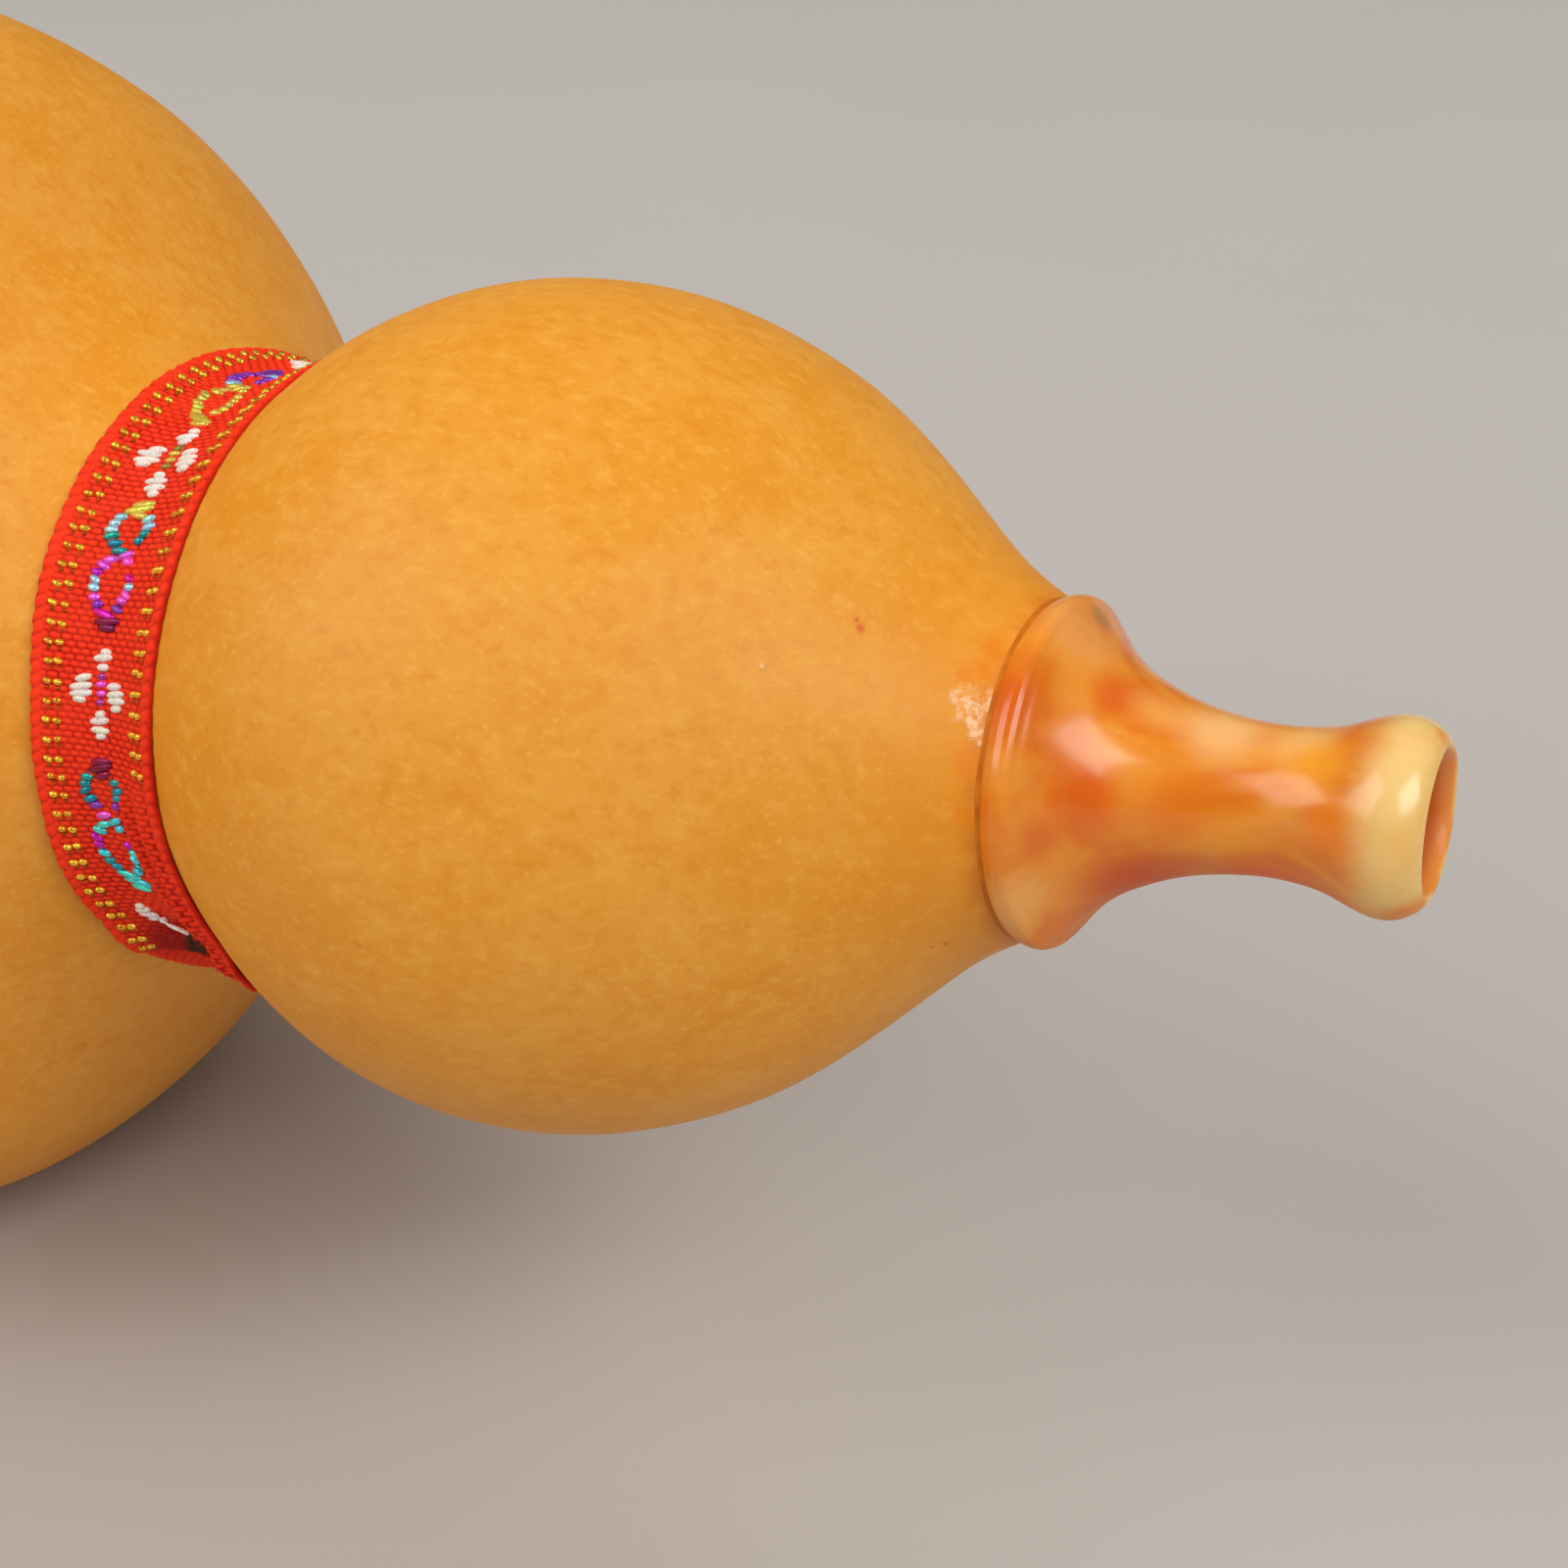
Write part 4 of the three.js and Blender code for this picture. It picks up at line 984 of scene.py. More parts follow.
OLIVE, TEAL, SKY, MAGENTA, PINK, VIOLET, PLUM, CYAN = ((0.76, 0.62, 0.10), (0.01, 0.33, 0.42), (0.38, 0.80, 0.96), (0.66, 0.01, 0.52),
                                                        (0.98, 0.12, 0.84), (0.30, 0.05, 0.58), (0.30, 0.005, 0.08), (0.07, 0.84, 0.92))
RUNS = {  # thread colours along a scroll, from its first end to its last
    "a": [OLIVE, OLIVE, SKY, TEAL, TEAL, MAGENTA, PINK, MAGENTA, SKY, PINK, VIOLET, MAGENTA, PLUM],
    "b": [PLUM, PLUM, TEAL, TEAL, VIOLET, PINK, CYAN, MAGENTA, CYAN, PINK, TEAL, CYAN, CYAN],
    "c": [VIOLET, VIOLET, SKY, VIOLET, SKY, OLIVE, OLIVE, OLIVE, OLIVE, OLIVE, OLIVE, OLIVE, OLIVE]}
white_rows, figure_rows = [], []
FLOWERS_AT = [26.3, 69.6, 115.2, 160.4, 205.4, 250.4, 295.4, 340.6]
SCROLLS_AT = [47.4, 94.6, 137.8, 182.9, 227.9, 272.9, 317.9, 365.6]
for k in range(8):
    v0 = math.radians(FLOWERS_AT[k]) * 22.9
    heart = [OLIVE, PINK, CYAN, MAGENTA][k % 4]
    # the flower in the folds shows only two of its petals
    for u, v, w in FLOWER if k != 2 else PINCHED:
        tone = tuple(c * (1 + rng.normal(0, 0.03)) for c in WHITE)
        white_rows.append((6.25 + u + rng.normal(0, 0.05), v0 + v * 0.98 + rng.normal(0, 0.03), w, 0.58, 0.27, rng.normal(-0.1, 0.06), tone))
    for i, (u, v, w) in enumerate(HEART if k != 2 else []):
        tone = heart if i % 3 else tuple(0.45 * c for c in heart)
        figure_rows.append((6.25 + u, v0 + v, w * 0.9, 0.52, 0.24, -0.1, tone))
    run = RUNS[{0: "a", 1: "b", 7: "c"}.get(k, "abc"[k % 3])]
    v1 = math.radians(SCROLLS_AT[k]) * 22.9
    for u, v, w in SCROLL:
        if k == 2 and v < -1.3:
            continue  # under the ribbon's cut end
        at_run = (v + 4.9) / 9.6 * (len(run) - 1)
        tone = run[int(min(len(run) - 1, max(0, round(at_run + rng.normal(0, 0.45)))))]
        tone = tuple(max(0.0, c * (1 + rng.normal(0, 0.12))) for c in tone)
        figure_rows.append((5.85 + u + rng.normal(0, 0.06), v1 + v * (1.08 if k == 1 else 0.94) + rng.normal(0, 0.04), w * 1.12, 0.64, 0.27,
                            rng.normal(-0.15 if v < 0 else 0.15, 0.1), tone))
white = stitches("white_flower_stitches", white_rows, stitch_material("white_thread", 0.0, 0.55), "figure_thread")
figure = stitches("scroll_stitches", figure_rows, stitch_material("coloured_metallic_thread", 0.50, 0.26), "figure_thread")


def tube(points, radius, seg=8):
    """A thin thread along points, with round-ish ends."""
    P = np.array(points, float)
    T = np.gradient(P, axis=0)
    T /= np.linalg.norm(T, axis=1)[:, None]
    ref = np.array([1.0, 0.3, 0.2])
    rows = []
    n = len(P)
    for i in range(n):
        a = np.cross(T[i], ref)
        a /= np.linalg.norm(a)
        b = np.cross(T[i], a)
        rr = (radius if np.isscalar(radius) else radius[i]) * (0.35 if i in (0, n - 1) else 1.0)
        q = 2 * np.pi * np.arange(seg) / seg
        rows.append(P[i] + rr * (np.cos(q)[:, None] * a + np.sin(q)[:, None] * b))
    V = np.vstack(rows + [P[:1], P[-1:]])
    F = []
    for i in range(n - 1):
        for k in range(seg):
            j = (k + 1) % seg
            F.append((i * seg + k, i * seg + j, (i + 1) * seg + j, (i + 1) * seg + k))
    for k in range(seg):
        j = (k + 1) % seg
        F.append((n * seg, j, k))
        F.append((n * seg + 1, (n - 1) * seg + k, (n - 1) * seg + j))
    return V, F


# a white thread worked loose from a flower, and the frayed threads of the cut end
q = np.linspace(0, 1, 26)
loose = on_ribbon(5.4 + 2.3 * q, 115.8 + 1.9 * q + 0.25 * np.sin(q * 7), 0.24 + 0.22 * np.sin(q * math.pi))
parts = [tube(loose, 0.07 + 0.085 * smoothstep(0.15, 0.45, q))]
for _ in range(9):
    u0, du, dt, up = rng.uniform(0.6, 11.4), rng.normal(0, 0.5), rng.uniform(0.9, 2.6), rng.uniform(0.1, 0.5)
    p = np.linspace(0, 1, 7)
    pts = on_ribbon(u0 + du * p ** 2, np.where(p < 2, SEAM - 0.6 + dt * p, 0), 0.02 + up * p * (1 - 0.55 * p))
    parts.append(tube(pts, 0.05, 6))
for part_name, chosen, tint in (("loose_white_thread", parts[:1], WHITE), ("frayed_end_threads", parts[1:], (0.80, 0.05, 0.025))):
    V, F, n0 = [], [], 0
    for v, f in chosen:
        V.append(v)
        F += [tuple(i + n0 for i in face) for face in f]
        n0 += len(v)
    ob = new_object(part_name, np.vstack(V), F, sharp=None)
    ob.data.attributes.new("thread", "FLOAT_COLOR", "POINT").data.foreach_set(
        "color", np.array([(*tint, 1.0)] * len(ob.data.vertices), np.float32).ravel())
    dress(ob, "gourd", "figure_thread" if tint == WHITE else "ribbon", white.data.materials[0])

# ------------------------------------------------------------------ base cap and socket
cap = rounded([(BASE_PLUG_TOP, 0), (BASE_PLUG_TOP, 25.9), (-102.3, 26.7), (BASE_BACK, 26.7), (BASE_BACK, 32.2), (-109.6, 32.6)], 0.3, 3, False)
cap += [tuple(p) for p in spline([(-109.6, 32.6), (-110.7, 32.52), (-111.8, 32.1), (-113.1, 31.0), (-114.4, 29.45), (-115.5, 27.55), (-116.2, 26.2),
                                  (-116.47, 25.45)], 0.35)[1:]]
cap += [(BASE_FACE, 24.9), (BASE_FACE, 24.2), (BASE_FACE + 0.28, 23.9), (BASE_FACE + 0.28, 23.5), (BASE_FACE, 23.2), (BASE_FACE, 0)]
cap_ob = new_object("base_cap_body", *turned(cap, 144))


def bore_cutter(r, y, s_low, s_high, seg=96):
    prof = [(s_low - 2, 0), (s_low - 2, r + 1.2), (s_low - 0.02, r + 0.35), (s_low + 0.12, r + 0.14), (s_low + 0.38, r), (s_high + 2, r), (s_high + 2, 0)]
    V, F = turned(prof, seg)
    return V + (0, y, 0), F


cut(cap_ob, [bore_cutter(SOCKET_R + GAP, 0, BASE_FACE, BASE_PLUG_TOP)])
cut(cap_ob, [bore_cutter(DRONE_R + GAP, DRONE_Y, BASE_FACE, BASE_PLUG_TOP), bore_cutter(DRONE_R + GAP, -DRONE_Y, BASE_FACE, BASE_PLUG_TOP)])
dress(cap_ob, "gourd", "agate_resin", MAT_AGATE, "base_cap")

seal = rounded([(-101.2, 24.8), (-100.5, 24.9), (-101.0, 26.4), (-102.4, 28.3), (-103.4, 29.1), (-104.0, 28.9), (-104.0, 27.1), (-101.3, 27.1)], 0.3, 2)
piece = new_object("base_wax_fillet", *turned(seal, 160, True, uneven(21, 7.0, 0.10)), sharp=None)
dress(piece, "gourd", "wax", MAT_WAX, "base_wax_seal")

sock = rounded([(SOCKET_TOP, SOCKET_IN), (SOCKET_TOP, SOCKET_R), (BASE_FACE - GAP, SOCKET_R), (BASE_FACE - GAP, SOCKET_COLLAR_R - 0.2),
                (BASE_FACE - GAP - 0.7, SOCKET_COLLAR_R), (-118.2, SOCKET_COLLAR_R), (-118.45, SOCKET_COLLAR_R - 0.28), (-118.75, SOCKET_COLLAR_R - 0.28),
                (-119.0, SOCKET_COLLAR_R), (SOCKET_END + 0.5, SOCKET_COLLAR_R), (SOCKET_END, SOCKET_COLLAR_R - 0.4), (SOCKET_END, SOCKET_IN)], 0.22, 3)
piece = new_object("main_socket_body", *turned(sock, 128, True))
dress(piece, "gourd", "agate_resin", MAT_AGATE, "main_socket")


# ------------------------------------------------------------------ reed heads
def reed_cutters(tongue):
    return [box_cutter(FLAT_X, 12, -8, 8, FLAT_BOTTOM, FLAT_TOP)], [
        box_cutter(0.2, 12, -2.3, 2.3, PLATE_MID - tongue / 2 - 1.4, PLATE_MID + tongue / 2 + 1.4)]


def plate_ring(outer_loop, inner_loop, x0, x1):
    """A flat plate with an opening, from two loops of (y, s) with as many points each."""
    n = len(outer_loop)
    V = np.vstack([np.column_stack([np.full(n, x), loop]) for x, loop in
                   ((x0, outer_loop), (x1, outer_loop), (x1, inner_loop), (x0, inner_loop))])
    F = []
    for i in range(4):
        a, b = i * n, ((i + 1) % 4) * n
        for k in range(n):
            j = (k + 1) % n
            F.append((a + k, a + j, b + j, b + k))
    return V, F


def loop(corners, per, radius):
    """A closed outline with rounded corners, per points along it, evenly spread, starting at its first side's middle."""
    P = np.array(rounded(corners, radius, 5), float)
    P = np.vstack([P, P[:1]])
    d = np.r_[0, np.cumsum(np.hypot(*np.diff(P, axis=0).T))]
    q = np.linspace(0, d[-1], per, endpoint=False)
    return np.column_stack([np.interp(q, d, P[:, 0]), np.interp(q, d, P[:, 1])])


def reed(prefix, tongue, y, tongue_body):
    x = FLAT_X + GAP
    tip_s, root_s = PLATE_MID - tongue / 2, PLATE_MID + tongue / 2
    hw, hl = PLATE_W / 2, PLATE_L / 2
    n = 96
    out = loop([(-hw, PLATE_MID - hl), (hw, PLATE_MID - hl), (hw, PLATE_MID + hl), (-hw, PLATE_MID + hl)], n, 0.5)
    w0, w1 = TONGUE_W0 / 2 + 0.3, TONGUE_W1 / 2 + 0.3
    hole = loop([(-w1, tip_s - 0.3), (w1, tip_s - 0.3), (w0, root_s + 0.3), (-w0, root_s + 0.3)], n, 0.12)
    rim_o = PLATE_MID + (out[:, 1] - PLATE_MID) * (1 - 0.05 / hl), out[:, 0] * (1 - 0.05 / hw)
    top_o = np.column_stack([rim_o[1], rim_o[0]])
    loops = [(x, top_o), (x + 0.06, out), (x + PLATE_T - 0.06, out), (x + PLATE_T, top_o), (x + PLATE_T, hole), (x, hole)]
    V = np.vstack([np.column_stack([np.full(n, xx), l]) for xx, l in loops])
    F = []
    for i in range(len(loops)):
        a, b = i * n, ((i + 1) % len(loops)) * n
        for k in range(n):
            j = (k + 1) % n
            F.append((a + k, a + j, b + j, b + k))
    ob = new_object(prefix + "_reed_frame", V, F, y, 30)
    dress(ob, "gourd", "brass", MAT_BRASS, prefix + "_reed_plate")
    # tongue: a thin tapered blade, thinned a little towards its tip, its long edges eased
    m = 24
    q = np.linspace(0, 1, m)
    s = root_s + (tip_s - root_s) * q
    half = TONGUE_W0 / 2 + (TONGUE_W1 - TONGUE_W0) / 2 * q
    half[-1] -= 0.12
    low = x + (PLATE_T - TONGUE_T) / 2
    thin = TONGUE_T * (1 - 0.30 * smoothstep(0.25, 0.9, q))
    sect = []
    for i in range(m):
        a, b, w = low, low + thin[i], half[i]
        sect.append([(a, -w + 0.04, s[i]), (a, w - 0.04, s[i]), (a + 0.05, w, s[i]), (b - 0.05, w, s[i]), (b, w - 0.05, s[i]),
                     (b, 0.0, s[i]), (b, -w + 0.05, s[i]), (b - 0.05, -w, s[i]), (a + 0.05, -w, s[i])])
    V = np.array(sect).reshape(-1, 3)
    F = []
    for i in range(m - 1):
        for k in range(9):
            j = (k + 1) % 9
            F.append((i * 9 + k, i * 9 + j, (i + 1) * 9 + j, (i + 1) * 9 + k))
    V = np.vstack([V, V[:9].mean(0), V[-9:].mean(0)])
    for k in range(9):
        j = (k + 1) % 9
        F.append((len(V) - 2, j, k))
        F.append((len(V) - 1, (m - 1) * 9 + k, (m - 1) * 9 + j))
    ob = new_object(prefix + "_reed_blade", V, F, y, 30)
    dress(ob, tongue_body, "brass", MAT_BRASS, prefix + "_reed_tongue")
    # bead of wax round the plate
    wl, ww = hl + GAP + 0.42, hw + 0.25 + 0.26
    path = loop([(-ww, PLATE_MID - wl), (ww, PLATE_MID - wl), (ww, PLATE_MID + wl), (-ww, PLATE_MID + wl)], 160, 0.7)
    T = np.roll(path, -1, 0) - np.roll(path, 1, 0)
    T /= np.linalg.norm(T, axis=1)[:, None]
    N = np.column_stack([T[:, 1], -T[:, 0]])
    sec = [(0.0, -0.20), (0.0, 0.20), (0.22, 0.30), (0.55, 0.22), (0.78, 0.0), (0.55, -0.20), (0.22, -0.24)]
    V = np.vstack([np.column_stack([np.full(160, x + h), path + N * o]) for h, o in sec])
    V[:, 0] += np.where(V[:, 0] > x + 0.1, waves(V, 31, 2.6, 0.10), 0)
    V[:, 1:] += N[np.tile(np.arange(160), len(sec))] * waves(V, 33, 2.0, 0.05)[:, None]
    F = []
    for i in range(len(sec)):
        a, b = i * 160, ((i + 1) % len(sec)) * 160
        for k in range(160):
            j = (k + 1) % 160
            F.append((a + k, a + j, b + j, b + k))
    ob = new_object(prefix + "_reed_wax_bead", V, F, y, None)
    dress(ob, "gourd", "wax", MAT_WAX, prefix + "_reed_wax")


def wax_plug(name, bore, y, node, seed):
    prof = rounded([(PIPE_TOP - 5.5, 0), (PIPE_TOP - 5.5, bore - GAP), (PIPE_TOP + GAP, bore - GAP), (PIPE_TOP + GAP, REED_TUBE_R - 0.45),
                    (PIPE_TOP + 0.9, REED_TUBE_R - 0.5), (PIPE_TOP + 1.7, REED_TUBE_R - 1.3), (PIPE_TOP + 2.15, 3.4), (PIPE_TOP + 2.3, 1.6), (PIPE_TOP + 2.3, 0)],
                   0.3, 3, False)
    ob = new_object(name, *turned(prof, 72, False, uneven(seed, 5.0, 0.07)), y, None)
    dress(ob, "gourd", "wax", MAT_WAX, node)


mat_reed = bamboo_material("bamboo_reed_tube", REED_TUBE_R, (), MAIN_BORE, 4.0)
tube_prof = rounded([(REED_TUBE_END, MAIN_BORE), (REED_TUBE_END, REED_TUBE_R), (PIPE_TOP, REED_TUBE_R), (PIPE_TOP, MAIN_BORE)], 0.25, 2)
ob = new_object("main_reed_tube_body", *turned(tube_prof, 96, True))
flat, window = reed_cutters(TONGUES["main"])
cut(ob, flat)
cut(ob, window)
dress(ob, "gourd", "bamboo", mat_reed, "main_reed_tube")
wax_plug("main_reed_tube_wax", MAIN_BORE, 0, "main_reed_tube_plug", 41)
reed("main", TONGUES["main"], 0, "main_tongue")


# ------------------------------------------------------------------ playing pipe
def joint_ridge(s, r, up=0.42):
    """A bamboo joint: a swelling with a groove round it."""
    return [(s + 5, r), (s + 3.4, r + 0.10 * up), (s + 2.2, r + 0.45 * up), (s + 1.2, r + 0.92 * up), (s + 0.7, r + up), (s + 0.3, r + 0.85 * up),
            (s, r + 0.42 * up), (s - 0.35, r + 0.72 * up), (s - 0.9, r + 0.86 * up), (s - 2.0, r + 0.6 * up), (s - 3.2, r + 0.2 * up), (s - 4.4, r)]


JOINT1, JOINT2 = -200.2, -376.0
pipe = [(TENON_TOP, MAIN_BORE), (TENON_TOP, TENON_R), (SHOULDER, TENON_R), (SHOULDER, RING_SEAT), (SHOULDER - TOP_RING_L, RING_SEAT),
        (SHOULDER - TOP_RING_L, MAIN_R)]
pipe = rounded(pipe, [0.25, 0.3, 0, 0.1, 0.1, 0.2], 2, False)
s_now = SHOULDER - TOP_RING_L - 12
while s_now > JOINT1 + 7:
    pipe.append((s_now, MAIN_R))
    s_now -= 14
pipe += joint_ridge(JOINT1, MAIN_R)
s_now = JOINT1 - 14
while s_now > JOINT2 + 8:
    pipe.append((s_now, MAIN_R))
    s_now -= 14
pipe += joint_ridge(JOINT2, MAIN_R, 0.38)
pipe += [(FOOT + FOOT_RING_L, MAIN_R), (FOOT + FOOT_RING_L, RING_SEAT), (FOOT, RING_SEAT), (FOOT, MAIN_BORE)]
ob = new_object("playing_pipe_body", *turned(pipe, 128, True), sharp=30)
holes = [saddle_cutter(FOOT + d, r, MAIN_R, 1) for d, r in FRONT_HOLES]
holes += [saddle_cutter(FOOT + d, r, MAIN_R, -1) for d, r in [THUMB_HOLE, *VENT_HOLES]]
holes += [side_cutter(FOOT + CORD_HOLE[0], CORD_HOLE[1], MAIN_R)]
cut(ob, holes, sharp=32)
mat_pipe = bamboo_material("bamboo_playing_pipe", MAIN_R, (JOINT1, JOINT2), MAIN_BORE, 0.0)
dress(ob, "pipe", "bamboo", mat_pipe, "playing_pipe")


# thread wound round the tenon: a true helix of turns, tied off by one crossing turn
def wrap_mesh():
    s_top, s_low, pitch, seg = TENON_TOP - 1.0, SHOULDER + 0.8, 0.42, 96
    rows = int((s_top - s_low) / pitch * 7)
    ss = np.linspace(s_top, s_low, rows)
    th = 2 * np.pi * np.arange(seg) / seg
    S, T = np.meshgrid(ss, th, indexing="ij")
    phase = (S - s_top) / pitch - T / (2 * np.pi)
    bump = np.abs(np.cos(np.pi * phase))
    end = smoothstep(0, 0.5, s_top - S) * smoothstep(0, 0.5, S - s_low)
    R = WRAP_OUT - 0.30 + (0.30 * bump ** 0.6 + 0.02 * np.sin(9 * T + S)) * end
    cross = np.exp(-(((T - 2.0 - (S + 113) * 0.42 + np.pi) % (2 * np.pi) - np.pi) / 0.045) ** 2)
    R = np.minimum(R + 0.10 * cross * end, WRAP_OUT + 0.02)
    V = np.stack([R * np.cos(T), R * np.sin(T), S], -1).reshape(-1, 3)
    inner_r = np.array([(WRAP_IN * math.cos(t), WRAP_IN * math.sin(t), s) for s in (s_low, s_top) for t in th])
    V = np.vstack([V, inner_r])
    F = []
    n = rows + 2
    for i in range(n):
        a, b = i * seg, ((i + 1) % n) * seg
        for k in range(seg):
            j = (k + 1) % seg
            F.append((a + k, a + j, b + j, b + k))
    return V, F


ob = new_object("tenon_wound_thread", *wrap_mesh(), sharp=None)
dress(ob, "tenon_wrap", "thread", MAT_THREAD, "tenon_thread_wrap")

ring = [(SHOULDER, RING_SEAT + GAP), (SHOULDER, SOCKET_COLLAR_R - 0.35), (SHOULDER - 0.5, SOCKET_COLLAR_R), (SHOULDER - 3.0, SOCKET_COLLAR_R)]
ring = rounded(ring, 0.25, 3, False)
ring += [tuple(p) for p in spline([(SHOULDER - 3.0, SOCKET_COLLAR_R), (SHOULDER - 3.8, SOCKET_COLLAR_R - 0.04), (SHOULDER - 5.0, SOCKET_COLLAR_R - 0.34),
                                   (SHOULDER - 6.4, MAIN_R + 0.92), (SHOULDER - 7.6, MAIN_R + 0.66), (SHOULDER - 8.3, MAIN_R + 0.42),
                                   (SHOULDER - 8.62, MAIN_R + 0.20)], 0.3)[1:]]
ring += [(SHOULDER - 8.70, MAIN_R + 0.02), (SHOULDER - 8.70, RING_SEAT + GAP)]
ob = new_object("playing_pipe_top_collar", *turned(ring, 128, True))
dress(ob, "pipe", "agate_resin", MAT_AGATE, "playing_pipe_top_ring")

foot = [(FOOT + 12.7, RING_SEAT + GAP), (FOOT + 12.7, MAIN_R + 0.1), (FOOT + 12.5, MAIN_R + 0.3)]
foot += [tuple(p) for p in spline([(FOOT + 12.5, MAIN_R + 0.3), (FOOT + 11.9, MAIN_R + 0.66), (FOOT + 10.9, MAIN_R + 0.84), (FOOT + 8.4, MAIN_R + 0.82),
                                   (FOOT + 5.6, MAIN_R + 1.0), (FOOT + 3.6, MAIN_R + 1.5), (FOOT + 1.9, MAIN_R + 1.98), (FOOT + 0.6, MAIN_R + 2.05),
                                   (FOOT - 0.5, MAIN_R + 1.92), (FOOT - 1.3, MAIN_R + 1.45), (FOOT - 1.72, MAIN_R + 0.95)], 0.35)[1:]]
foot += [(FOOT - 1.8, MAIN_R + 0.6), (FOOT - 1.8, MAIN_BORE + 0.75), (FOOT - 1.65, MAIN_BORE + 0.48), (FOOT - 1.4, MAIN_BORE + 0.4),
         (FOOT - GAP, MAIN_BORE + 0.4), (FOOT - GAP, RING_SEAT + GAP)]
ob = new_object("foot_bell", *turned(foot, 128, True))
dress(ob, "pipe", "agate_resin", MAT_AGATE, "foot_ring")

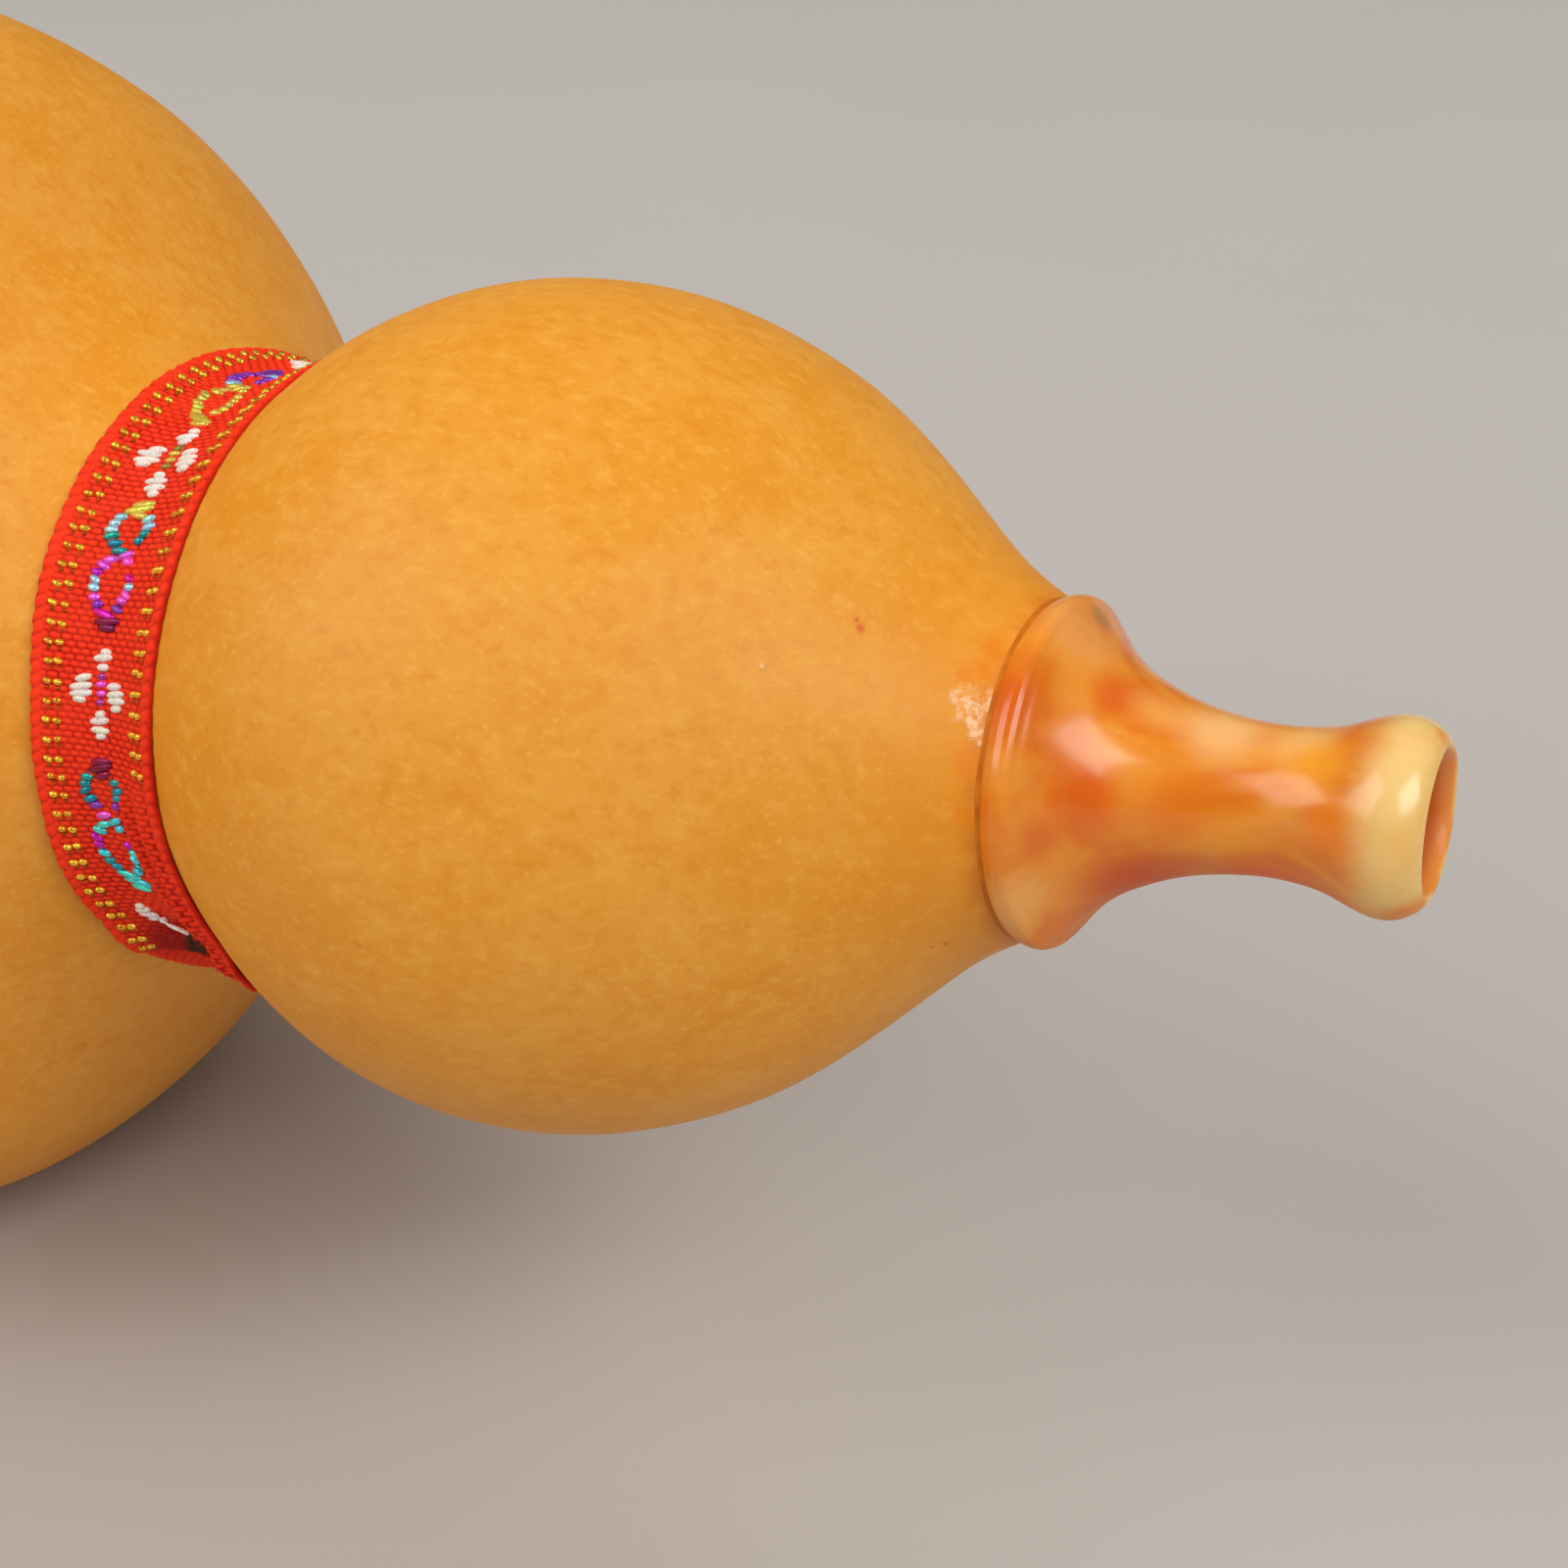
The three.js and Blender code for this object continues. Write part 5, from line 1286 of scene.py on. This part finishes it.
# ------------------------------------------------------------------ drones
for side, y, end in (("left", DRONE_Y, LEFT_END), ("right", -DRONE_Y, RIGHT_END)):
    node = end + (78 if side == "left" else 104)
    prof = rounded([(PIPE_TOP, DRONE_BORE), (PIPE_TOP, DRONE_R)], 0.2, 2, False)
    s_now = PIPE_TOP - 10
    while s_now > node + 8:
        prof.append((s_now, DRONE_R))
        s_now -= 16
    prof += joint_ridge(node, DRONE_R, 0.38)
    s_now = node - 12
    while s_now > end + FERRULE_L + 5:
        prof.append((s_now, DRONE_R))
        s_now -= 16
    prof += [(end + FERRULE_L, DRONE_R), (end + FERRULE_L, FERRULE_SEAT), (end, FERRULE_SEAT), (end, DRONE_BORE)]
    ob = new_object(side + "_drone_body", *turned(prof, 112, True), y, 30)
    flat, window = reed_cutters(TONGUES[side])
    cut(ob, flat, y, 32)
    cut(ob, window, y, 32)
    dress(ob, "gourd", "bamboo", bamboo_material("bamboo_" + side + "_drone", DRONE_R, (node,), DRONE_BORE, 17.0 if side == "left" else 31.0, y),
          side + "_drone_pipe")
    wax_plug(side + "_drone_wax_cap", DRONE_BORE, y, side + "_drone_top_plug", 43 if side == "left" else 47)
    reed(side, TONGUES[side], y, side + "_tongue")
    bead = [(BASE_FACE - GAP + 0.02, DRONE_R + 0.14), (BASE_FACE - GAP, DRONE_R + 0.95), (BASE_FACE - 0.62, DRONE_R + 0.78), (BASE_FACE - 1.0, DRONE_R + 0.45),
            (BASE_FACE - 1.35, DRONE_R + 0.12)]
    ob = new_object(side + "_drone_wax_fillet", *turned(rounded(bead, 0.15, 2), 96, True, uneven(51 if side == "left" else 53, 3.5, 0.07)), y, None)
    dress(ob, "gourd", "wax", MAT_WAX, side + "_drone_wax_seal")
    fer = [(end + 9.2, FERRULE_SEAT + GAP), (end + 9.2, DRONE_R + 0.12), (end + 9.05, DRONE_R + 0.3)]
    fer += [tuple(p) for p in spline([(end + 9.05, DRONE_R + 0.3), (end + 8.5, DRONE_R + 0.58), (end + 7.6, DRONE_R + 0.70), (end + 5.6, DRONE_R + 0.70),
                                      (end + 4.0, DRONE_R + 0.80), (end + 2.6, DRONE_R + 1.12), (end + 1.2, FERRULE_R), (end + 0.2, FERRULE_R + 0.02),
                                      (end - 0.6, FERRULE_R - 0.25), (end - 1.05, FERRULE_R - 0.75)], 0.3)[1:]]
    fer += [(end - 1.2, FERRULE_R - 1.1), (end - 1.2, DRONE_BORE + 0.35), (end - 1.05, DRONE_BORE + 0.12), (end - GAP, DRONE_BORE + 0.1), (end - GAP, FERRULE_SEAT + GAP)]
    ob = new_object(side + "_ferrule_body", *turned(fer, 112, True), y)
    dress(ob, "gourd", "agate_resin", MAT_AGATE, side + "_drone_ferrule")
    face = end - 1.2 - GAP
    stop = [(end + 11, 0), (end + 11, 2.45), (end + 10.7, 2.8), (face + 0.1, 2.8), (face, 2.95), (face, 5.3), (face - 0.12, 5.62)]
    stop += [tuple(p) for p in spline([(face - 0.12, 5.62), (face - 0.55, 6.02), (face - 1.15, 6.10), (face - 1.8, 5.82), (face - 2.9, 4.98), (face - 4.4, 4.12),
                                       (face - 6.2, 3.72), (face - 7.8, 3.84), (face - 9.3, 4.42), (face - 10.6, 5.22), (face - 11.7, 5.66), (face - 12.7, 5.72),
                                       (face - 13.6, 5.36), (face - 14.25, 4.62), (face - 14.66, 3.5), (face - 14.8, 2.0)], 0.3)[1:]]
    stop += [(face - 14.8, 0)]
    body = side + "_stopper"
    ob = new_object(side + "_stopper_knob", *turned(stop, 112), y)
    dress(ob, body, "agate_resin", MAT_AGATE, side + "_stopper")
    ck = rounded([(end + 9.4, 3.05), (end + 9.4, 3.62), (end + 9.0, 3.75), (end + 1.5, 3.75), (end + 1.2, 3.6), (end + 1.2, 3.05)], 0.12, 2)
    ob = new_object(side + "_stopper_cork_sleeve", *turned(ck, 96, True, uneven(61 if side == "left" else 63, 2.2, 0.03)), y, 50)
    dress(ob, body, "cork", MAT_CORK, side + "_stopper_cork")

# ------------------------------------------------------------------ floor, lights, world
me = bpy.data.meshes.new("floor")
me.from_pydata([(-7, -7, 0), (7, -7, 0), (7, 7, 0), (-7, 7, 0)], [], [(0, 1, 2, 3)])
floor = bpy.data.objects.new("floor", me)
bpy.context.scene.collection.objects.link(floor)
floor.location.z = -0.0002
n = Nodes("pale_floor")
tone = n.noise(n.mm(), 0.01, 3.0)
me.materials.append(n.surface(Base_Color=n.mix(tone, (0.49, 0.47, 0.445), (0.52, 0.50, 0.475)), Roughness=0.9, Specular_IOR_Level=0.2))


def softbox(name, azimuth, elevation, distance, wide, high, power, colour=(1, 1, 1), aim=(0.19, 0.0, 0.06)):
    a, e = math.radians(azimuth), math.radians(elevation)
    way = Vector((math.sin(a) * math.cos(e), -math.cos(a) * math.cos(e), math.sin(e)))
    data = bpy.data.lights.new(name, "AREA")
    data.shape, data.size, data.size_y, data.energy, data.color = "RECTANGLE", wide, high, power, colour
    ob = bpy.data.objects.new(name, data)
    bpy.context.scene.collection.objects.link(ob)
    ob.location = Vector(aim) + way * distance
    ob.rotation_mode = "QUATERNION"
    ob.rotation_quaternion = (-way).to_track_quat("-Z", "Y")
    ob.visible_camera = False
    return ob


softbox("softbox_right", 64, 43, 2.6, 2.0, 1.25, 47.0, (1.0, 0.97, 0.93))
softbox("softbox_left", -46, 37, 2.6, 1.45, 1.9, 32.5, (1.0, 0.97, 0.94))
softbox("softbox_back", -165, 62, 2.8, 3.4, 2.6, 34.0, (1.0, 0.97, 0.93)).visible_glossy = False
world = bpy.data.worlds.new("studio")
bpy.context.scene.world = world
world.use_nodes = True
bg = next(x for x in world.node_tree.nodes if x.type == "BACKGROUND")
bg.inputs["Color"].default_value = (1.0, 0.97, 0.94, 1.0)
bg.inputs["Strength"].default_value = 0.12
bpy.context.scene.view_settings.view_transform = "Standard"
bpy.context.scene.view_settings.look = "None"
